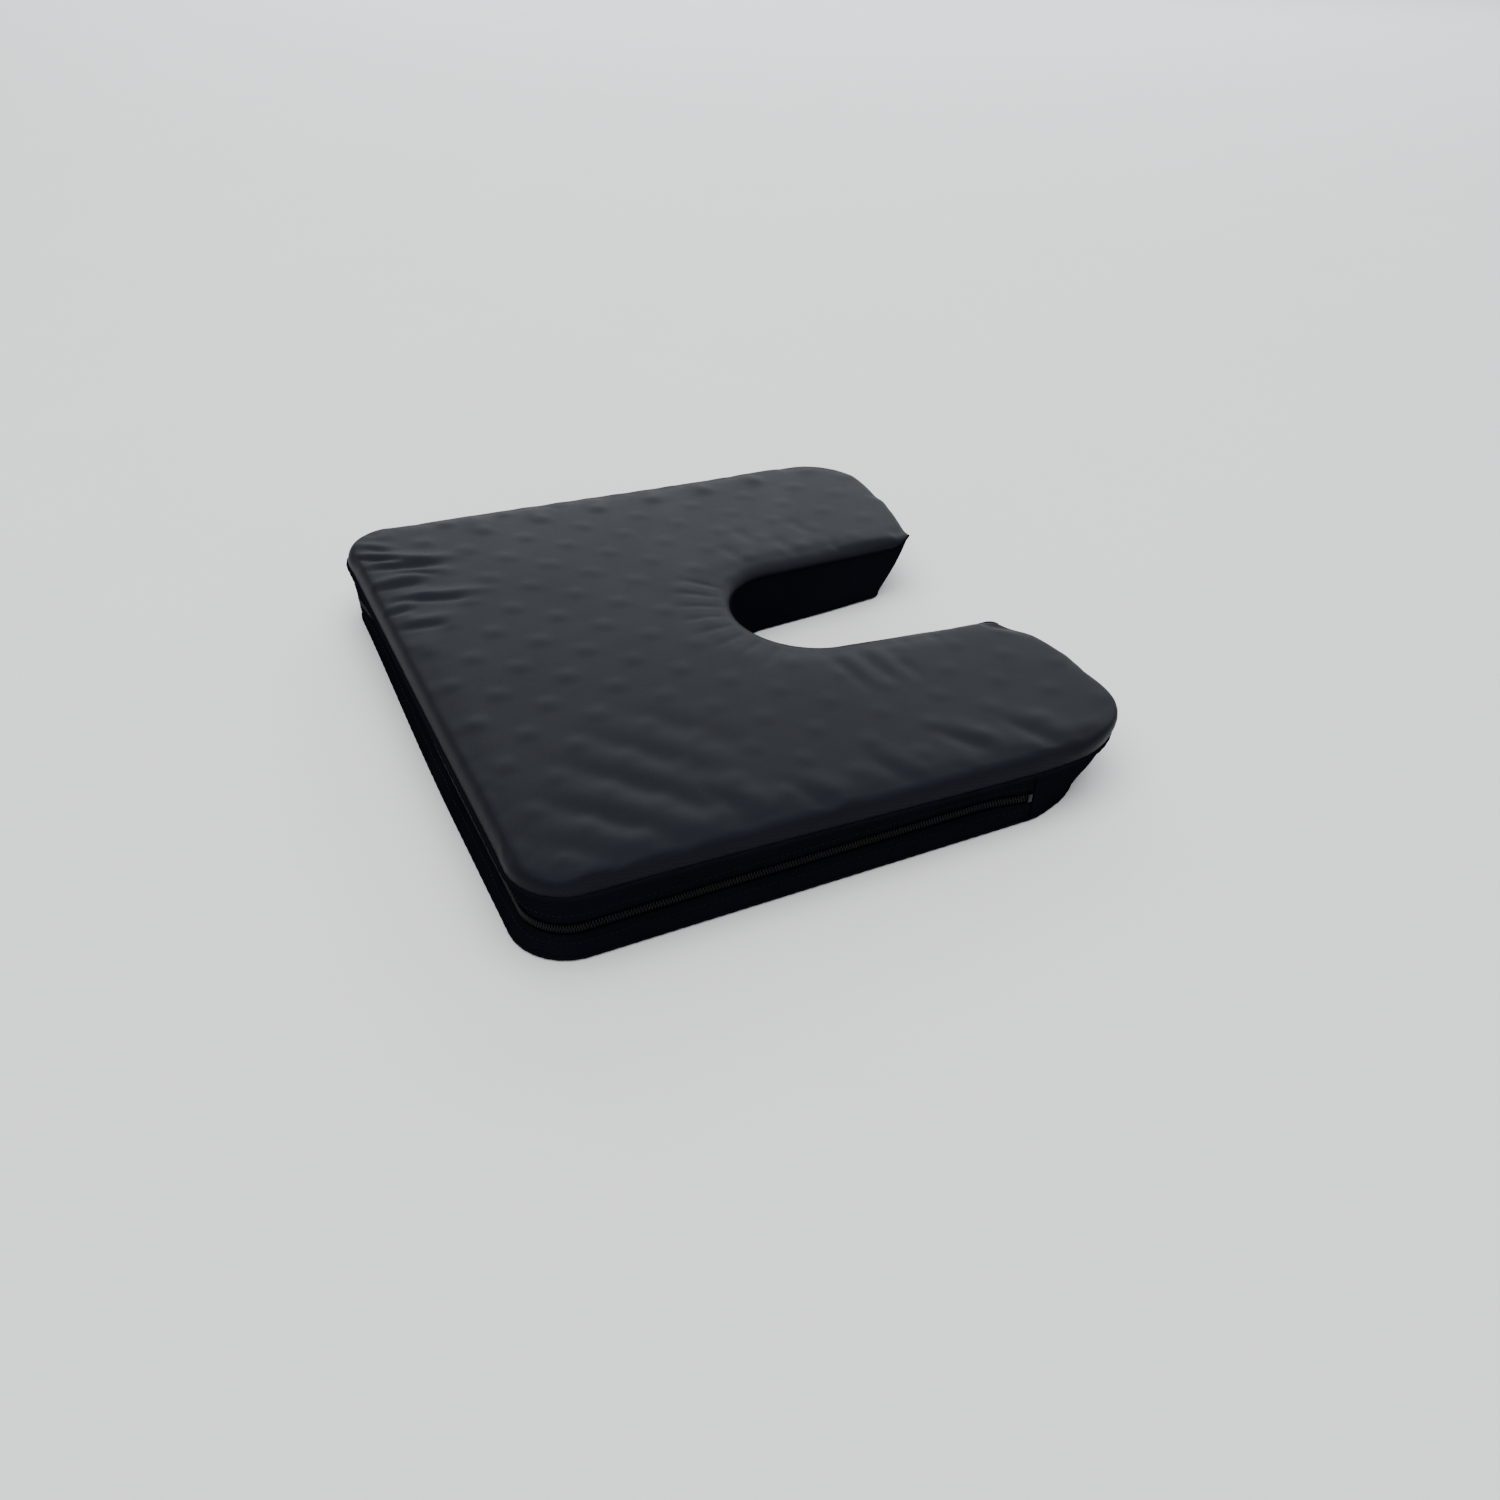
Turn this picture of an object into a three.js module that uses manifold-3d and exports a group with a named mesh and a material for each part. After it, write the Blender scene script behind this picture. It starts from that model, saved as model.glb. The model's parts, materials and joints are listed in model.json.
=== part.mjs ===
// Coccyx seat cushion: a foam core with a tailbone slot, in a boxed fabric cover that closes
// with a zip. Millimetres, +Z up, front edge towards -Y, slot open towards +Y.
// The origin is on the seat plane, in the middle of the cushion.

import * as THREE from "three";
import { mergeVertices } from "three/addons/utils/BufferGeometryUtils.js";
import Module from "manifold-3d";

const wasm = await Module();
wasm.setup();

// ---------------------------------------------------------------- driving dimensions

// Outline of the cover, seen from above.
const WIDTH = 354;
const DEPTH = 342;
const FRONT_CORNER_R = 29;
const REAR_CORNER_R = 42;

// Tailbone slot: a round end, and walls that open a little towards the back.
const SLOT_DEPTH = 156;
const SLOT_END_R = 44;
const SLOT_MOUTH_HALF = 50;
const SLOT_LIP_R = 12;

// Heights.
const THICKNESS = 46;
const SEAM_Z = 30;
const BASE_LAYER_H = 18;
const EGG_CRATE_WEB_H = 6;

// The top of the back face overhangs its foot, and the edges roll over above the seam.
const BACK_LEAN = 26;
const ZIP_TO_LEAN = 2;
const SIDE_CROWN = 28;
const BACK_CROWN = 9;

// Egg-crate face of the upper foam.
const PEAK_PITCH = 38.1;
const PEAK_FOOT_R = 12.6;
const PEAK_TIP_R = 5;

// Cloth, and the clearance between pieces that lie against each other.
const SKIN = 1.2;
const BASE_SKIN = 1.4;
const GAP = 0.3;
const WELT = 2.4;
const WELT_PROUD = 0.8;

// Zip: its height on the side, the window between the two strips, and its pieces.
const ZIP_Z = 15;
const ZIP_WINDOW = 9;
const ZIP_END_INSET = 72;
const TAPE = 0.5;
const TAPE_W = 8;
const COIL_W = 2.1;
const COIL_SPLIT = 1.0;
const STOP_L = 2.4;

// Slider and pull. A wing's nose and tail are shares of its width.
const SLIDER_L = 11;
const SLIDER_W = 8;
const WING = 1.1;
const WING_NOSE = 0.5;
const WING_TAIL = 0.78;
const BACK_WING = 0.8;
const BACK_WING_L = 8.8;
const BACK_WING_W = 6;
const WEB = 0.4;
const WEB_L = 4;
const FLANGE = 0.8;
const ARCH_L = 7.2;
const ARCH_W = 1.6;
const ARCH_T = 0.8;
const ARCH_ROOM = 1.9;
const PULL_T = 1.0;
const PULL_W = 6;
const PULL_L = 24;
const PULL_EYE_CLEAR = 0.5;
const PULL_TIP_HOLE_R = 1.4;
const PARKING_GAP = 1;

// Facets, and how far a cutting solid runs on past what it cuts.
const ARC_SEGMENTS = 4;
const CROWN_STEPS = 5;
const PEAK_SIDES = 6;
const OVERCUT = 1;

// ---------------------------------------------------------------- what follows from them

const HALF_W = WIDTH / 2;
const HALF_D = DEPTH / 2;
const SLOT_END_Y = HALF_D - SLOT_DEPTH;
const ZIP_END_Y = HALF_D - ZIP_END_INSET;
const LEAN_START_Y = ZIP_END_Y + ZIP_TO_LEAN;

const TAPE_INSET = SKIN + GAP;
const FOAM_INSET = TAPE_INSET + TAPE + GAP;
const FLOOR_Z = BASE_SKIN + GAP;
const BASE_LAYER_TOP = FLOOR_Z + BASE_LAYER_H;
const TOPPER_Z = BASE_LAYER_TOP + GAP;
const TOPPER_TOP = THICKNESS - SKIN - GAP;
const WEB_TOP = TOPPER_Z + EGG_CRATE_WEB_H;

const STRIP_TOP_Z = SEAM_Z - WELT / 2 - GAP;
const PANEL_EDGE_Z = SEAM_Z + WELT / 2 + GAP;
const WINDOW_LOW_Z = ZIP_Z - ZIP_WINDOW / 2;
const WINDOW_HIGH_Z = ZIP_Z + ZIP_WINDOW / 2;
const COIL_END_Y = ZIP_END_Y - STOP_L - 2 * GAP;
const COIL_INSET = 0.1;
const COIL_REACH = COIL_SPLIT / 2 + COIL_W;

const FAR = 4 * Math.max(WIDTH, DEPTH);
const QUARTER = Math.PI / 2;

// ---------------------------------------------------------------- solids

// A closed geometry as a solid, with its shared vertices merged.
function solid(geometry) {
  geometry.deleteAttribute("normal");
  geometry.deleteAttribute("uv");
  const merged = mergeVertices(geometry, 1e-4);
  return new wasm.Manifold(
    new wasm.Mesh({
      numProp: 3,
      vertProperties: new Float32Array(merged.attributes.position.array),
      triVerts: new Uint32Array(merged.index.array),
    }),
  );
}

// A block between two corners.
function block(low, high) {
  const size = high.map((value, axis) => value - low[axis]);
  const geometry = new THREE.BoxGeometry(...size);
  geometry.translate(...low.map((value, axis) => value + size[axis] / 2));
  return solid(geometry);
}

// An outline raised from one height to another.
function prism(shape, low, high) {
  const geometry = new THREE.ExtrudeGeometry(shape, {
    depth: high - low,
    bevelEnabled: false,
    curveSegments: ARC_SEGMENTS,
  });
  geometry.translate(0, 0, low);
  return solid(geometry);
}

// What lies in front of a line across the cushion.
const before = (y) => block([-FAR, -FAR, -FAR], [FAR, y, FAR]);

// ---------------------------------------------------------------- outlines

// The rounded rectangle of the cover, drawn in by an inset.
function outline(inset) {
  const x = HALF_W - inset;
  const y = HALF_D - inset;
  const front = FRONT_CORNER_R - inset;
  const rear = REAR_CORNER_R - inset;
  const shape = new THREE.Shape();
  shape.absarc(x - front, front - y, front, -QUARTER, 0);
  shape.absarc(x - rear, y - rear, rear, 0, QUARTER);
  shape.absarc(rear - x, y - rear, rear, QUARTER, 2 * QUARTER);
  shape.absarc(front - x, front - y, front, 2 * QUARTER, 3 * QUARTER);
  return shape;
}

// The slot as a prism, its walls set back into the foam by an inset. It runs out past the back.
function slot(inset) {
  const end = SLOT_END_R + inset;
  const mouth = SLOT_MOUTH_HALF + inset;
  const lip = SLOT_LIP_R - inset;
  const centre = SLOT_END_Y + SLOT_END_R;
  const back = HALF_D - inset;
  const shape = new THREE.Shape();
  shape.absarc(0, centre, end, 2 * QUARTER, 3 * QUARTER);
  shape.absarc(0, centre, end, 3 * QUARTER, 4 * QUARTER);
  shape.absarc(mouth + lip, back - lip, lip, 2 * QUARTER, QUARTER, true);
  shape.lineTo(mouth + lip, HALF_D + DEPTH);
  shape.lineTo(-mouth - lip, HALF_D + DEPTH);
  shape.absarc(-mouth - lip, back - lip, lip, QUARTER, 0, true);
  return prism(shape, -THICKNESS, 2 * THICKNESS);
}

// A strip that follows the outline, from its outer inset to its inner one.
function strip(outer, inner, low, high) {
  return prism(outline(outer), low, high).subtract(
    prism(outline(inner), low - OVERCUT, high + OVERCUT),
  );
}

// The outline from one height to another, rolled over into the crown above the seam.
function crowned(inset, low, high) {
  const geometry = new THREE.ExtrudeGeometry(outline(inset), {
    depth: 1,
    steps: CROWN_STEPS,
    bevelEnabled: false,
    curveSegments: ARC_SEGMENTS,
  });
  const position = geometry.attributes.position;
  for (let i = 0; i < position.count; i++) {
    const turn = position.getZ(i) * QUARTER;
    const rolled = 1 - Math.cos(turn);
    const edge = position.getY(i) > 0 ? BACK_CROWN : SIDE_CROWN;
    position.setXYZ(
      i,
      position.getX(i) * (1 - (rolled * SIDE_CROWN) / HALF_W),
      position.getY(i) * (1 - (rolled * edge) / HALF_D),
      SEAM_Z + (high - SEAM_Z) * Math.sin(turn),
    );
  }
  return solid(geometry).add(prism(outline(inset), low, SEAM_Z));
}

// Leans the back faces: behind LEAN_START_Y a point moves forward, the more the lower it lies.
function leaned(piece) {
  return piece.warp((point) => {
    const reach = Math.max(0, point[1] - LEAN_START_Y) / (HALF_D - LEAN_START_Y);
    point[1] -= BACK_LEAN * Math.min(1, reach) * (1 - point[2] / THICKNESS);
  });
}

// ---------------------------------------------------------------- foam

// The lower slab, with a channel down its left side in which the slider's back wing runs.
function foamBase() {
  const reach = BACK_WING_W / 2 + OVERCUT;
  const relief = block(
    [-HALF_W, ZIP_END_Y - DEPTH, ZIP_Z - reach],
    [-HALF_W + TAPE_INSET + TAPE + 2 * GAP + BACK_WING, ZIP_END_Y, ZIP_Z + reach],
  );
  return prism(outline(FOAM_INSET), FLOOR_Z, BASE_LAYER_TOP)
    .subtract(slot(FOAM_INSET))
    .subtract(relief);
}

// Cones on every second place of a square grid, standing on one web.
function eggCrate() {
  const step = PEAK_PITCH / 2;
  const columns = Math.ceil(HALF_W / step);
  const rows = Math.ceil(HALF_D / step);
  const height = TOPPER_TOP - WEB_TOP + OVERCUT;
  const peaks = [];
  for (let row = -rows; row <= rows; row++)
    for (let column = -columns; column <= columns; column++) {
      if ((row + column) % 2 !== 0) continue;
      const cone = new THREE.CylinderGeometry(PEAK_TIP_R, PEAK_FOOT_R, height, PEAK_SIDES);
      cone.rotateX(QUARTER);
      cone.translate(column * step, row * step, WEB_TOP - OVERCUT + height / 2);
      peaks.push(solid(cone));
    }
  const web = block([-HALF_W, -HALF_D, TOPPER_Z], [HALF_W, HALF_D, WEB_TOP]);
  return peaks.reduce((sum, peak) => sum.add(peak), web);
}

function foamTopper() {
  return crowned(FOAM_INSET, TOPPER_Z, TOPPER_TOP)
    .intersect(eggCrate())
    .subtract(slot(FOAM_INSET));
}

// ---------------------------------------------------------------- cover

function topPanel() {
  return crowned(0, SEAM_Z - WELT, THICKNESS)
    .subtract(crowned(SKIN, SEAM_Z - 2 * WELT, THICKNESS - SKIN))
    .subtract(slot(0))
    .intersect(block([-FAR, -FAR, PANEL_EDGE_Z], [FAR, FAR, FAR]));
}

const basePanel = () => prism(outline(0), 0, BASE_SKIN).subtract(slot(0));

const upperGusset = () => strip(0, SKIN, WINDOW_HIGH_Z, STRIP_TOP_Z).intersect(before(ZIP_END_Y));

const lowerGusset = () => strip(0, SKIN, FLOOR_Z, WINDOW_LOW_Z).intersect(before(ZIP_END_Y));

// The plain strip round one rear corner, from the zip's end to the slot's lip.
function backGusset(side) {
  const [low, high] = side < 0 ? [-FAR, 0] : [0, FAR];
  return strip(0, SKIN, FLOOR_Z, STRIP_TOP_Z)
    .subtract(slot(0))
    .intersect(block([low, ZIP_END_Y + GAP, -FAR], [high, FAR, FAR]));
}

// The full-height strip that lines the slot, under the top panel and inside the back strips.
function slotGusset() {
  return slot(SKIN)
    .subtract(slot(0))
    .intersect(crowned(SKIN + GAP, FLOOR_Z, THICKNESS - SKIN - GAP));
}

const topWelt = () =>
  strip(-WELT_PROUD, SKIN, SEAM_Z - WELT / 2, SEAM_Z + WELT / 2).subtract(slot(0));

// ---------------------------------------------------------------- zip

// Half of the zip above (1) or below (-1) its middle line, as heights.
const zipBand = (side, near, far) =>
  side > 0 ? [ZIP_Z + near, ZIP_Z + far] : [ZIP_Z - far, ZIP_Z - near];

function zipTape(side) {
  const [low, high] = zipBand(side, COIL_SPLIT / 2, TAPE_W);
  return strip(TAPE_INSET, TAPE_INSET + TAPE, low, high).intersect(before(ZIP_END_Y));
}

function zipCoil(side) {
  const [low, high] = zipBand(side, COIL_SPLIT / 2, COIL_REACH);
  return strip(COIL_INSET, SKIN, low, high).intersect(before(COIL_END_Y));
}

// The staple that closes one end of both coils.
function endStop(side) {
  const inner = HALF_W - SKIN;
  const outer = HALF_W - COIL_INSET;
  const start = COIL_END_Y + GAP;
  const [low, high] = side < 0 ? [-outer, -inner] : [inner, outer];
  return block([low, start, ZIP_Z - COIL_REACH], [high, start + STOP_L, ZIP_Z + COIL_REACH]);
}

// The slider and its pull are drawn with +X out of the cushion's side, +Y along the closed zip
// and the side's surface at x = 0.
const WING_IN = GAP - COIL_INSET;
const WING_OUT = WING_IN + WING;
const PIVOT_X = WING_OUT + ARCH_ROOM / 2;

// Stands a flat drawing up against the cushion's side, its thickness along X from 0 out.
function stoodUp(shape, thickness) {
  const geometry = new THREE.ExtrudeGeometry(shape, {
    depth: thickness,
    bevelEnabled: false,
    curveSegments: ARC_SEGMENTS,
  });
  geometry.rotateY(QUARTER);
  geometry.rotateX(QUARTER);
  return geometry;
}

// A slider's wing: a narrow nose, wide shoulders and a narrower tail.
function wing(length, width, low, high) {
  const half = width / 2;
  const tail = half * WING_TAIL;
  const nose = half * WING_NOSE;
  const shape = new THREE.Shape([
    new THREE.Vector2(-length / 2, -nose),
    new THREE.Vector2(-length / 2, nose),
    new THREE.Vector2(-length / 4, half),
    new THREE.Vector2(length / 2, tail),
    new THREE.Vector2(length / 2, -tail),
    new THREE.Vector2(-length / 4, -half),
  ]);
  return solid(stoodUp(shape, high - low).translate(low, 0, 0));
}

// Two wings joined through the coils' middle, with flanges beside the coils and an arch outside.
function slider() {
  const flangeIn = COIL_REACH + GAP;
  const flangeOut = flangeIn + FLANGE;
  const backIn = -(TAPE_INSET + TAPE + GAP);
  const inWing = WING_IN + WING / 2;
  const flange = (low, high) =>
    block([-TAPE_INSET + 2 * GAP, -SLIDER_L / 4, low], [inWing, SLIDER_L / 4, high]);
  const web = block(
    [backIn - BACK_WING / 2, -WEB_L / 2, -WEB / 2],
    [inWing, WEB_L / 2, WEB / 2],
  );
  const arch = block(
    [inWing, -ARCH_L / 2, -ARCH_W / 2],
    [WING_OUT + ARCH_ROOM + ARCH_T, ARCH_L / 2, ARCH_W / 2],
  ).subtract(
    block(
      [WING_OUT, -ARCH_L / 2 + ARCH_T, -ARCH_W],
      [WING_OUT + ARCH_ROOM, ARCH_L / 2 - ARCH_T, ARCH_W],
    ),
  );
  return wing(SLIDER_L, SLIDER_W, WING_IN, WING_OUT)
    .add(wing(BACK_WING_L, BACK_WING_W, backIn - BACK_WING, backIn))
    .add(web)
    .add(flange(flangeIn, flangeOut))
    .add(flange(-flangeOut, -flangeIn))
    .add(arch);
}

// A flat tab with an eye: its end bar turns under the slider's arch.
function pull() {
  const bar = PULL_T;
  const half = PULL_W / 2;
  const eye = ARCH_W / 2 + PULL_EYE_CLEAR;
  const window = ARCH_L / 2 + PULL_EYE_CLEAR;
  const shape = new THREE.Shape();
  shape.moveTo(-bar / 2, half);
  shape.lineTo(-bar / 2, -half);
  shape.lineTo(PULL_L - half, -half);
  shape.absarc(PULL_L - half, 0, half, -QUARTER, QUARTER);
  const opening = new THREE.Path([
    new THREE.Vector2(bar / 2, -eye),
    new THREE.Vector2(bar / 2, eye),
    new THREE.Vector2(window, eye),
    new THREE.Vector2(window, -eye),
  ]);
  const tip = new THREE.Path();
  tip.absarc(PULL_L - half, 0, PULL_TIP_HOLE_R, 0, 4 * QUARTER);
  shape.holes.push(opening, tip);
  return solid(stoodUp(shape, PULL_T).translate(-PULL_T / 2, 0, 0));
}

// ---------------------------------------------------------------- materials

const finish = (color, roughness, metalness = 0) =>
  new THREE.MeshStandardMaterial({ color, roughness, metalness });

const TOP_CLOTH = finish(0x2b2d33, 0.55);
const SIDE_CLOTH = finish(0x15161a, 0.6);
const BASE_CLOTH = finish(0x1a1b1e, 0.85);
const FIRM_FOAM = finish(0x8f9296, 0.95);
const SOFT_FOAM = finish(0xd9d4c4, 0.95);
const ZIP_TAPE = finish(0x0d0e10, 0.8);
const ZIP_COIL = finish(0x18191c, 0.45);
const ZIP_METAL = finish(0x2a2b2e, 0.35, 0.9);

// ---------------------------------------------------------------- assembly

const cushion = new THREE.Group();

function add(name, piece, material, parent = cushion) {
  const { vertProperties, triVerts } = piece.getMesh();
  const geometry = new THREE.BufferGeometry();
  geometry.setAttribute("position", new THREE.BufferAttribute(vertProperties, 3));
  geometry.setIndex(new THREE.BufferAttribute(triVerts, 1));
  geometry.computeVertexNormals();
  const mesh = new THREE.Mesh(geometry, material);
  mesh.name = name;
  parent.add(mesh);
}

add("foam_base", leaned(foamBase()), FIRM_FOAM);
add("foam_topper", leaned(foamTopper()), SOFT_FOAM);
add("top_panel", leaned(topPanel()), TOP_CLOTH);
add("base_panel", leaned(basePanel()), BASE_CLOTH);
add("upper_gusset", leaned(upperGusset()), SIDE_CLOTH);
add("lower_gusset", leaned(lowerGusset()), SIDE_CLOTH);
add("slot_gusset", leaned(slotGusset()), SIDE_CLOTH);
add("top_welt", leaned(topWelt()), SIDE_CLOTH);

for (const [side, name] of [[-1, "left"], [1, "right"]]) {
  add(`back_gusset_${name}`, leaned(backGusset(side)), SIDE_CLOTH);
  add(`zip_end_stop_${name}`, leaned(endStop(side)), ZIP_METAL);
}
for (const [side, name] of [[-1, "lower"], [1, "upper"]]) {
  add(`zip_tape_${name}`, leaned(zipTape(side)), ZIP_TAPE);
  add(`zip_coil_${name}`, leaned(zipCoil(side)), ZIP_COIL);
}

// The slider rests at the rear end of the zip on the left side, with the pull laid back over
// the closed coil. The pull turns about an upright axis under the arch.
const sliderGroup = new THREE.Group();
sliderGroup.position.set(-HALF_W, COIL_END_Y - SLIDER_L / 2 - PARKING_GAP, ZIP_Z);
sliderGroup.rotation.z = 2 * QUARTER;
cushion.add(sliderGroup);

const pullGroup = new THREE.Group();
pullGroup.position.x = PIVOT_X;
sliderGroup.add(pullGroup);

add("zip_slider", slider(), ZIP_METAL, sliderGroup);
add("zip_pull", pull(), ZIP_METAL, pullGroup);

export default cushion;
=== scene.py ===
"""A coccyx seat cushion: a two-layer foam core in a boxed fabric cover that closes with a zip.

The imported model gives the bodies, the overall sizes and the joints. The cover's panels, its
seams, the zip and the foam inside are modelled here around it, in metres, +Z up, with the front
edge towards -Y and the tailbone slot open towards +Y.
"""

from __future__ import annotations

import json
import logging
import math
from dataclasses import dataclass, field
from enum import Enum
from typing import Any, Callable, Iterable, Sequence

import bmesh
import bpy
import numpy as np
from mathutils import Matrix, Vector

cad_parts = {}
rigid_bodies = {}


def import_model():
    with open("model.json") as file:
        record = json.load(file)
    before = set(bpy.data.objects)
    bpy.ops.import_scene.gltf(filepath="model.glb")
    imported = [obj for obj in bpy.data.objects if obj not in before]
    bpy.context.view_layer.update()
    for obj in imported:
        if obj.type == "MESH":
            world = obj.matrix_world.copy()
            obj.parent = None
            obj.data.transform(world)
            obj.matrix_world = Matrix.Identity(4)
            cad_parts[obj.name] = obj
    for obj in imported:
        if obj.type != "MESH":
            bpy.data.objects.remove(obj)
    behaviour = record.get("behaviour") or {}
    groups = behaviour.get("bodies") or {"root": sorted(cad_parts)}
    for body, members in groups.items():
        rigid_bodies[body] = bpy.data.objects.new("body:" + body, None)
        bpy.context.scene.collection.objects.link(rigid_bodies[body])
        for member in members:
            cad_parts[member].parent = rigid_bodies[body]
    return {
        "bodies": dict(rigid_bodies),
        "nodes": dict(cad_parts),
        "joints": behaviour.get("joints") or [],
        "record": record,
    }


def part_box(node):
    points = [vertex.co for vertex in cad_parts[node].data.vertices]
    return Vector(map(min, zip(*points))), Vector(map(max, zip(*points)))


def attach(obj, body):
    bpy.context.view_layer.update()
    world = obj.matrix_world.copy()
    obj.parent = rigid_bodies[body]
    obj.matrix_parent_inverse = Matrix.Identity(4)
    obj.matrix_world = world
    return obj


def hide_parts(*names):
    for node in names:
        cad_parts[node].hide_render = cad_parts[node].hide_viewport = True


log = logging.getLogger("cushion")

MM = 0.001

Array = np.ndarray
Placer = Callable[[Array, Array], Array]
Profile = Callable[[Array, Array, Array, Array], tuple[Array, Array]]
Colour = tuple[float, float, float]

UP = Vector((0, 0, 1))
DOWN = Vector((0, 0, -1))
FORWARD = Vector((0, -1, 0))
BACKWARD = Vector((0, 1, 0))


# ---------------------------------------------------------------- shader graphs


class Sock:
    """A shader socket that takes part in Python arithmetic."""

    def __init__(self, graph: "ShaderGraph", socket: bpy.types.NodeSocket) -> None:
        """Wraps an output socket of a graph."""
        self.graph = graph
        self.socket = socket

    def _math(self, operation: str, first: Any, second: Any) -> "Sock":
        """Adds one Math node.

        Args:
            operation: the Math node's operation.
            first: a Sock or a number.
            second: a Sock or a number.

        Returns:
            The node's value.
        """
        return self.graph.node(
            "ShaderNodeMath", {"operation": operation}, {0: first, 1: second}
        )

    def __add__(self, other: Any) -> "Sock":
        """self + other."""
        return self._math("ADD", self, other)

    __radd__ = __add__

    def __sub__(self, other: Any) -> "Sock":
        """self - other."""
        return self._math("SUBTRACT", self, other)

    def __rsub__(self, other: Any) -> "Sock":
        """other - self."""
        return self._math("SUBTRACT", other, self)

    def __mul__(self, other: Any) -> "Sock":
        """self * other."""
        return self._math("MULTIPLY", self, other)

    __rmul__ = __mul__

    def __pow__(self, other: Any) -> "Sock":
        """self ** other."""
        return self._math("POWER", self, other)


class ShaderGraph:
    """A material and the one method that adds any node to it."""

    def __init__(self, name: str) -> None:
        """Makes an empty material with a Principled shader.

        Args:
            name: the material's name.
        """
        self.material = bpy.data.materials.new(name)
        self.material.use_nodes = True
        self.tree = self.material.node_tree
        self.shader = self.tree.nodes["Principled BSDF"]

    def node(
        self,
        kind: str,
        settings: dict[str, Any] | None = None,
        inputs: dict[Any, Any] | None = None,
        output: Any = 0,
    ) -> Sock:
        """Adds a node.

        Args:
            kind: the node's type.
            settings: attributes to set first; "stops" fills a colour ramp.
            inputs: socket name or index to a value or a Sock.
            output: the name or index of the socket to return.

        Returns:
            The chosen output.
        """
        made = self.tree.nodes.new(kind)
        for key, value in (settings or {}).items():
            if key == "stops":
                self._stops(made.color_ramp, value)
            else:
                setattr(made, key, value)
        for key, value in (inputs or {}).items():
            if isinstance(value, Sock):
                self.tree.links.new(value.socket, made.inputs[key])
            else:
                made.inputs[key].default_value = value
        return Sock(self, made.outputs[output])

    @staticmethod
    def _stops(ramp: bpy.types.ColorRamp, stops: Sequence[tuple[float, float]]) -> None:
        """Sets a grey ramp's stops.

        Args:
            ramp: the ramp.
            stops: pairs of position and grey value, from low to high.
        """
        while len(ramp.elements) < len(stops):
            ramp.elements.new(0.5)
        for element, (place, grey) in zip(ramp.elements, stops):
            element.position = place
            element.color = (grey, grey, grey, 1.0)

    def coordinates(self, scale: Sequence[float] = (1.0, 1.0, 1.0), turn: float = 0.0) -> Sock:
        """Object coordinates, scaled and turned about Z.

        Args:
            scale: the factor along each axis.
            turn: the turn in degrees.

        Returns:
            The coordinates as a vector.
        """
        plain = self.node("ShaderNodeTexCoord", output="Object")
        return self.node(
            "ShaderNodeMapping",
            {"vector_type": "POINT"},
            {"Vector": plain, "Scale": tuple(scale), "Rotation": (0, 0, math.radians(turn))},
        )

    def noise(self, scale: float, detail: float, vector: Sock | None = None) -> Sock:
        """A noise texture's value.

        Args:
            scale: cycles per metre.
            detail: octaves.
            vector: where it reads; Object coordinates if left out.

        Returns:
            The noise, about 0 to 1.
        """
        place = vector or self.coordinates()
        return self.node(
            "ShaderNodeTexNoise",
            inputs={"Vector": place, "Scale": scale, "Detail": detail},
            output="Fac",
        )

    def threads(self, pitch: float, axis: str, turn: float = 0.0) -> Sock:
        """Parallel threads as a wave.

        Args:
            pitch: the distance between threads in metres.
            axis: the axis across the threads, X, Y or Z.
            turn: the turn about Z in degrees.

        Returns:
            The wave, 0 to 1.
        """
        wave_unit = 2 * math.pi / 20
        return self.node(
            "ShaderNodeTexWave",
            {"wave_type": "BANDS", "bands_direction": axis, "wave_profile": "SIN"},
            {
                "Vector": self.coordinates(turn=turn),
                "Scale": wave_unit / pitch,
                "Distortion": 0.0,
            },
            output="Fac",
        )

    def blend(self, share: Any, low: Sequence[float], high: Sequence[float]) -> Sock:
        """Mixes two colours.

        Args:
            share: how much of high, 0 to 1.
            low: the colour at 0.
            high: the colour at 1.

        Returns:
            The colour.
        """
        return self.node(
            "ShaderNodeMix",
            {"data_type": "RGBA"},
            {"Factor": share, 6: (*low, 1.0), 7: (*high, 1.0)},
            output=2,
        )

    def bump(self, height: Sock, distance: float, strength: float = 1.0) -> Sock:
        """Turns a height into a normal.

        Args:
            height: the height, 0 to 1.
            distance: what a height of 1 stands for, in metres.
            strength: the bump's strength.

        Returns:
            The normal.
        """
        return self.node(
            "ShaderNodeBump",
            inputs={"Height": height, "Distance": distance, "Strength": strength},
        )

    def feed(self, **sockets: Any) -> "ShaderGraph":
        """Sets or links the shader's own sockets.

        Args:
            **sockets: socket names with spaces as underscores, with a value or a Sock.

        Returns:
            The graph.
        """
        for key, value in sockets.items():
            target = self.shader.inputs[key.replace("_", " ")]
            if isinstance(value, Sock):
                self.tree.links.new(value.socket, target)
            else:
                target.default_value = value
        return self


# ---------------------------------------------------------------- finishes


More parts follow.
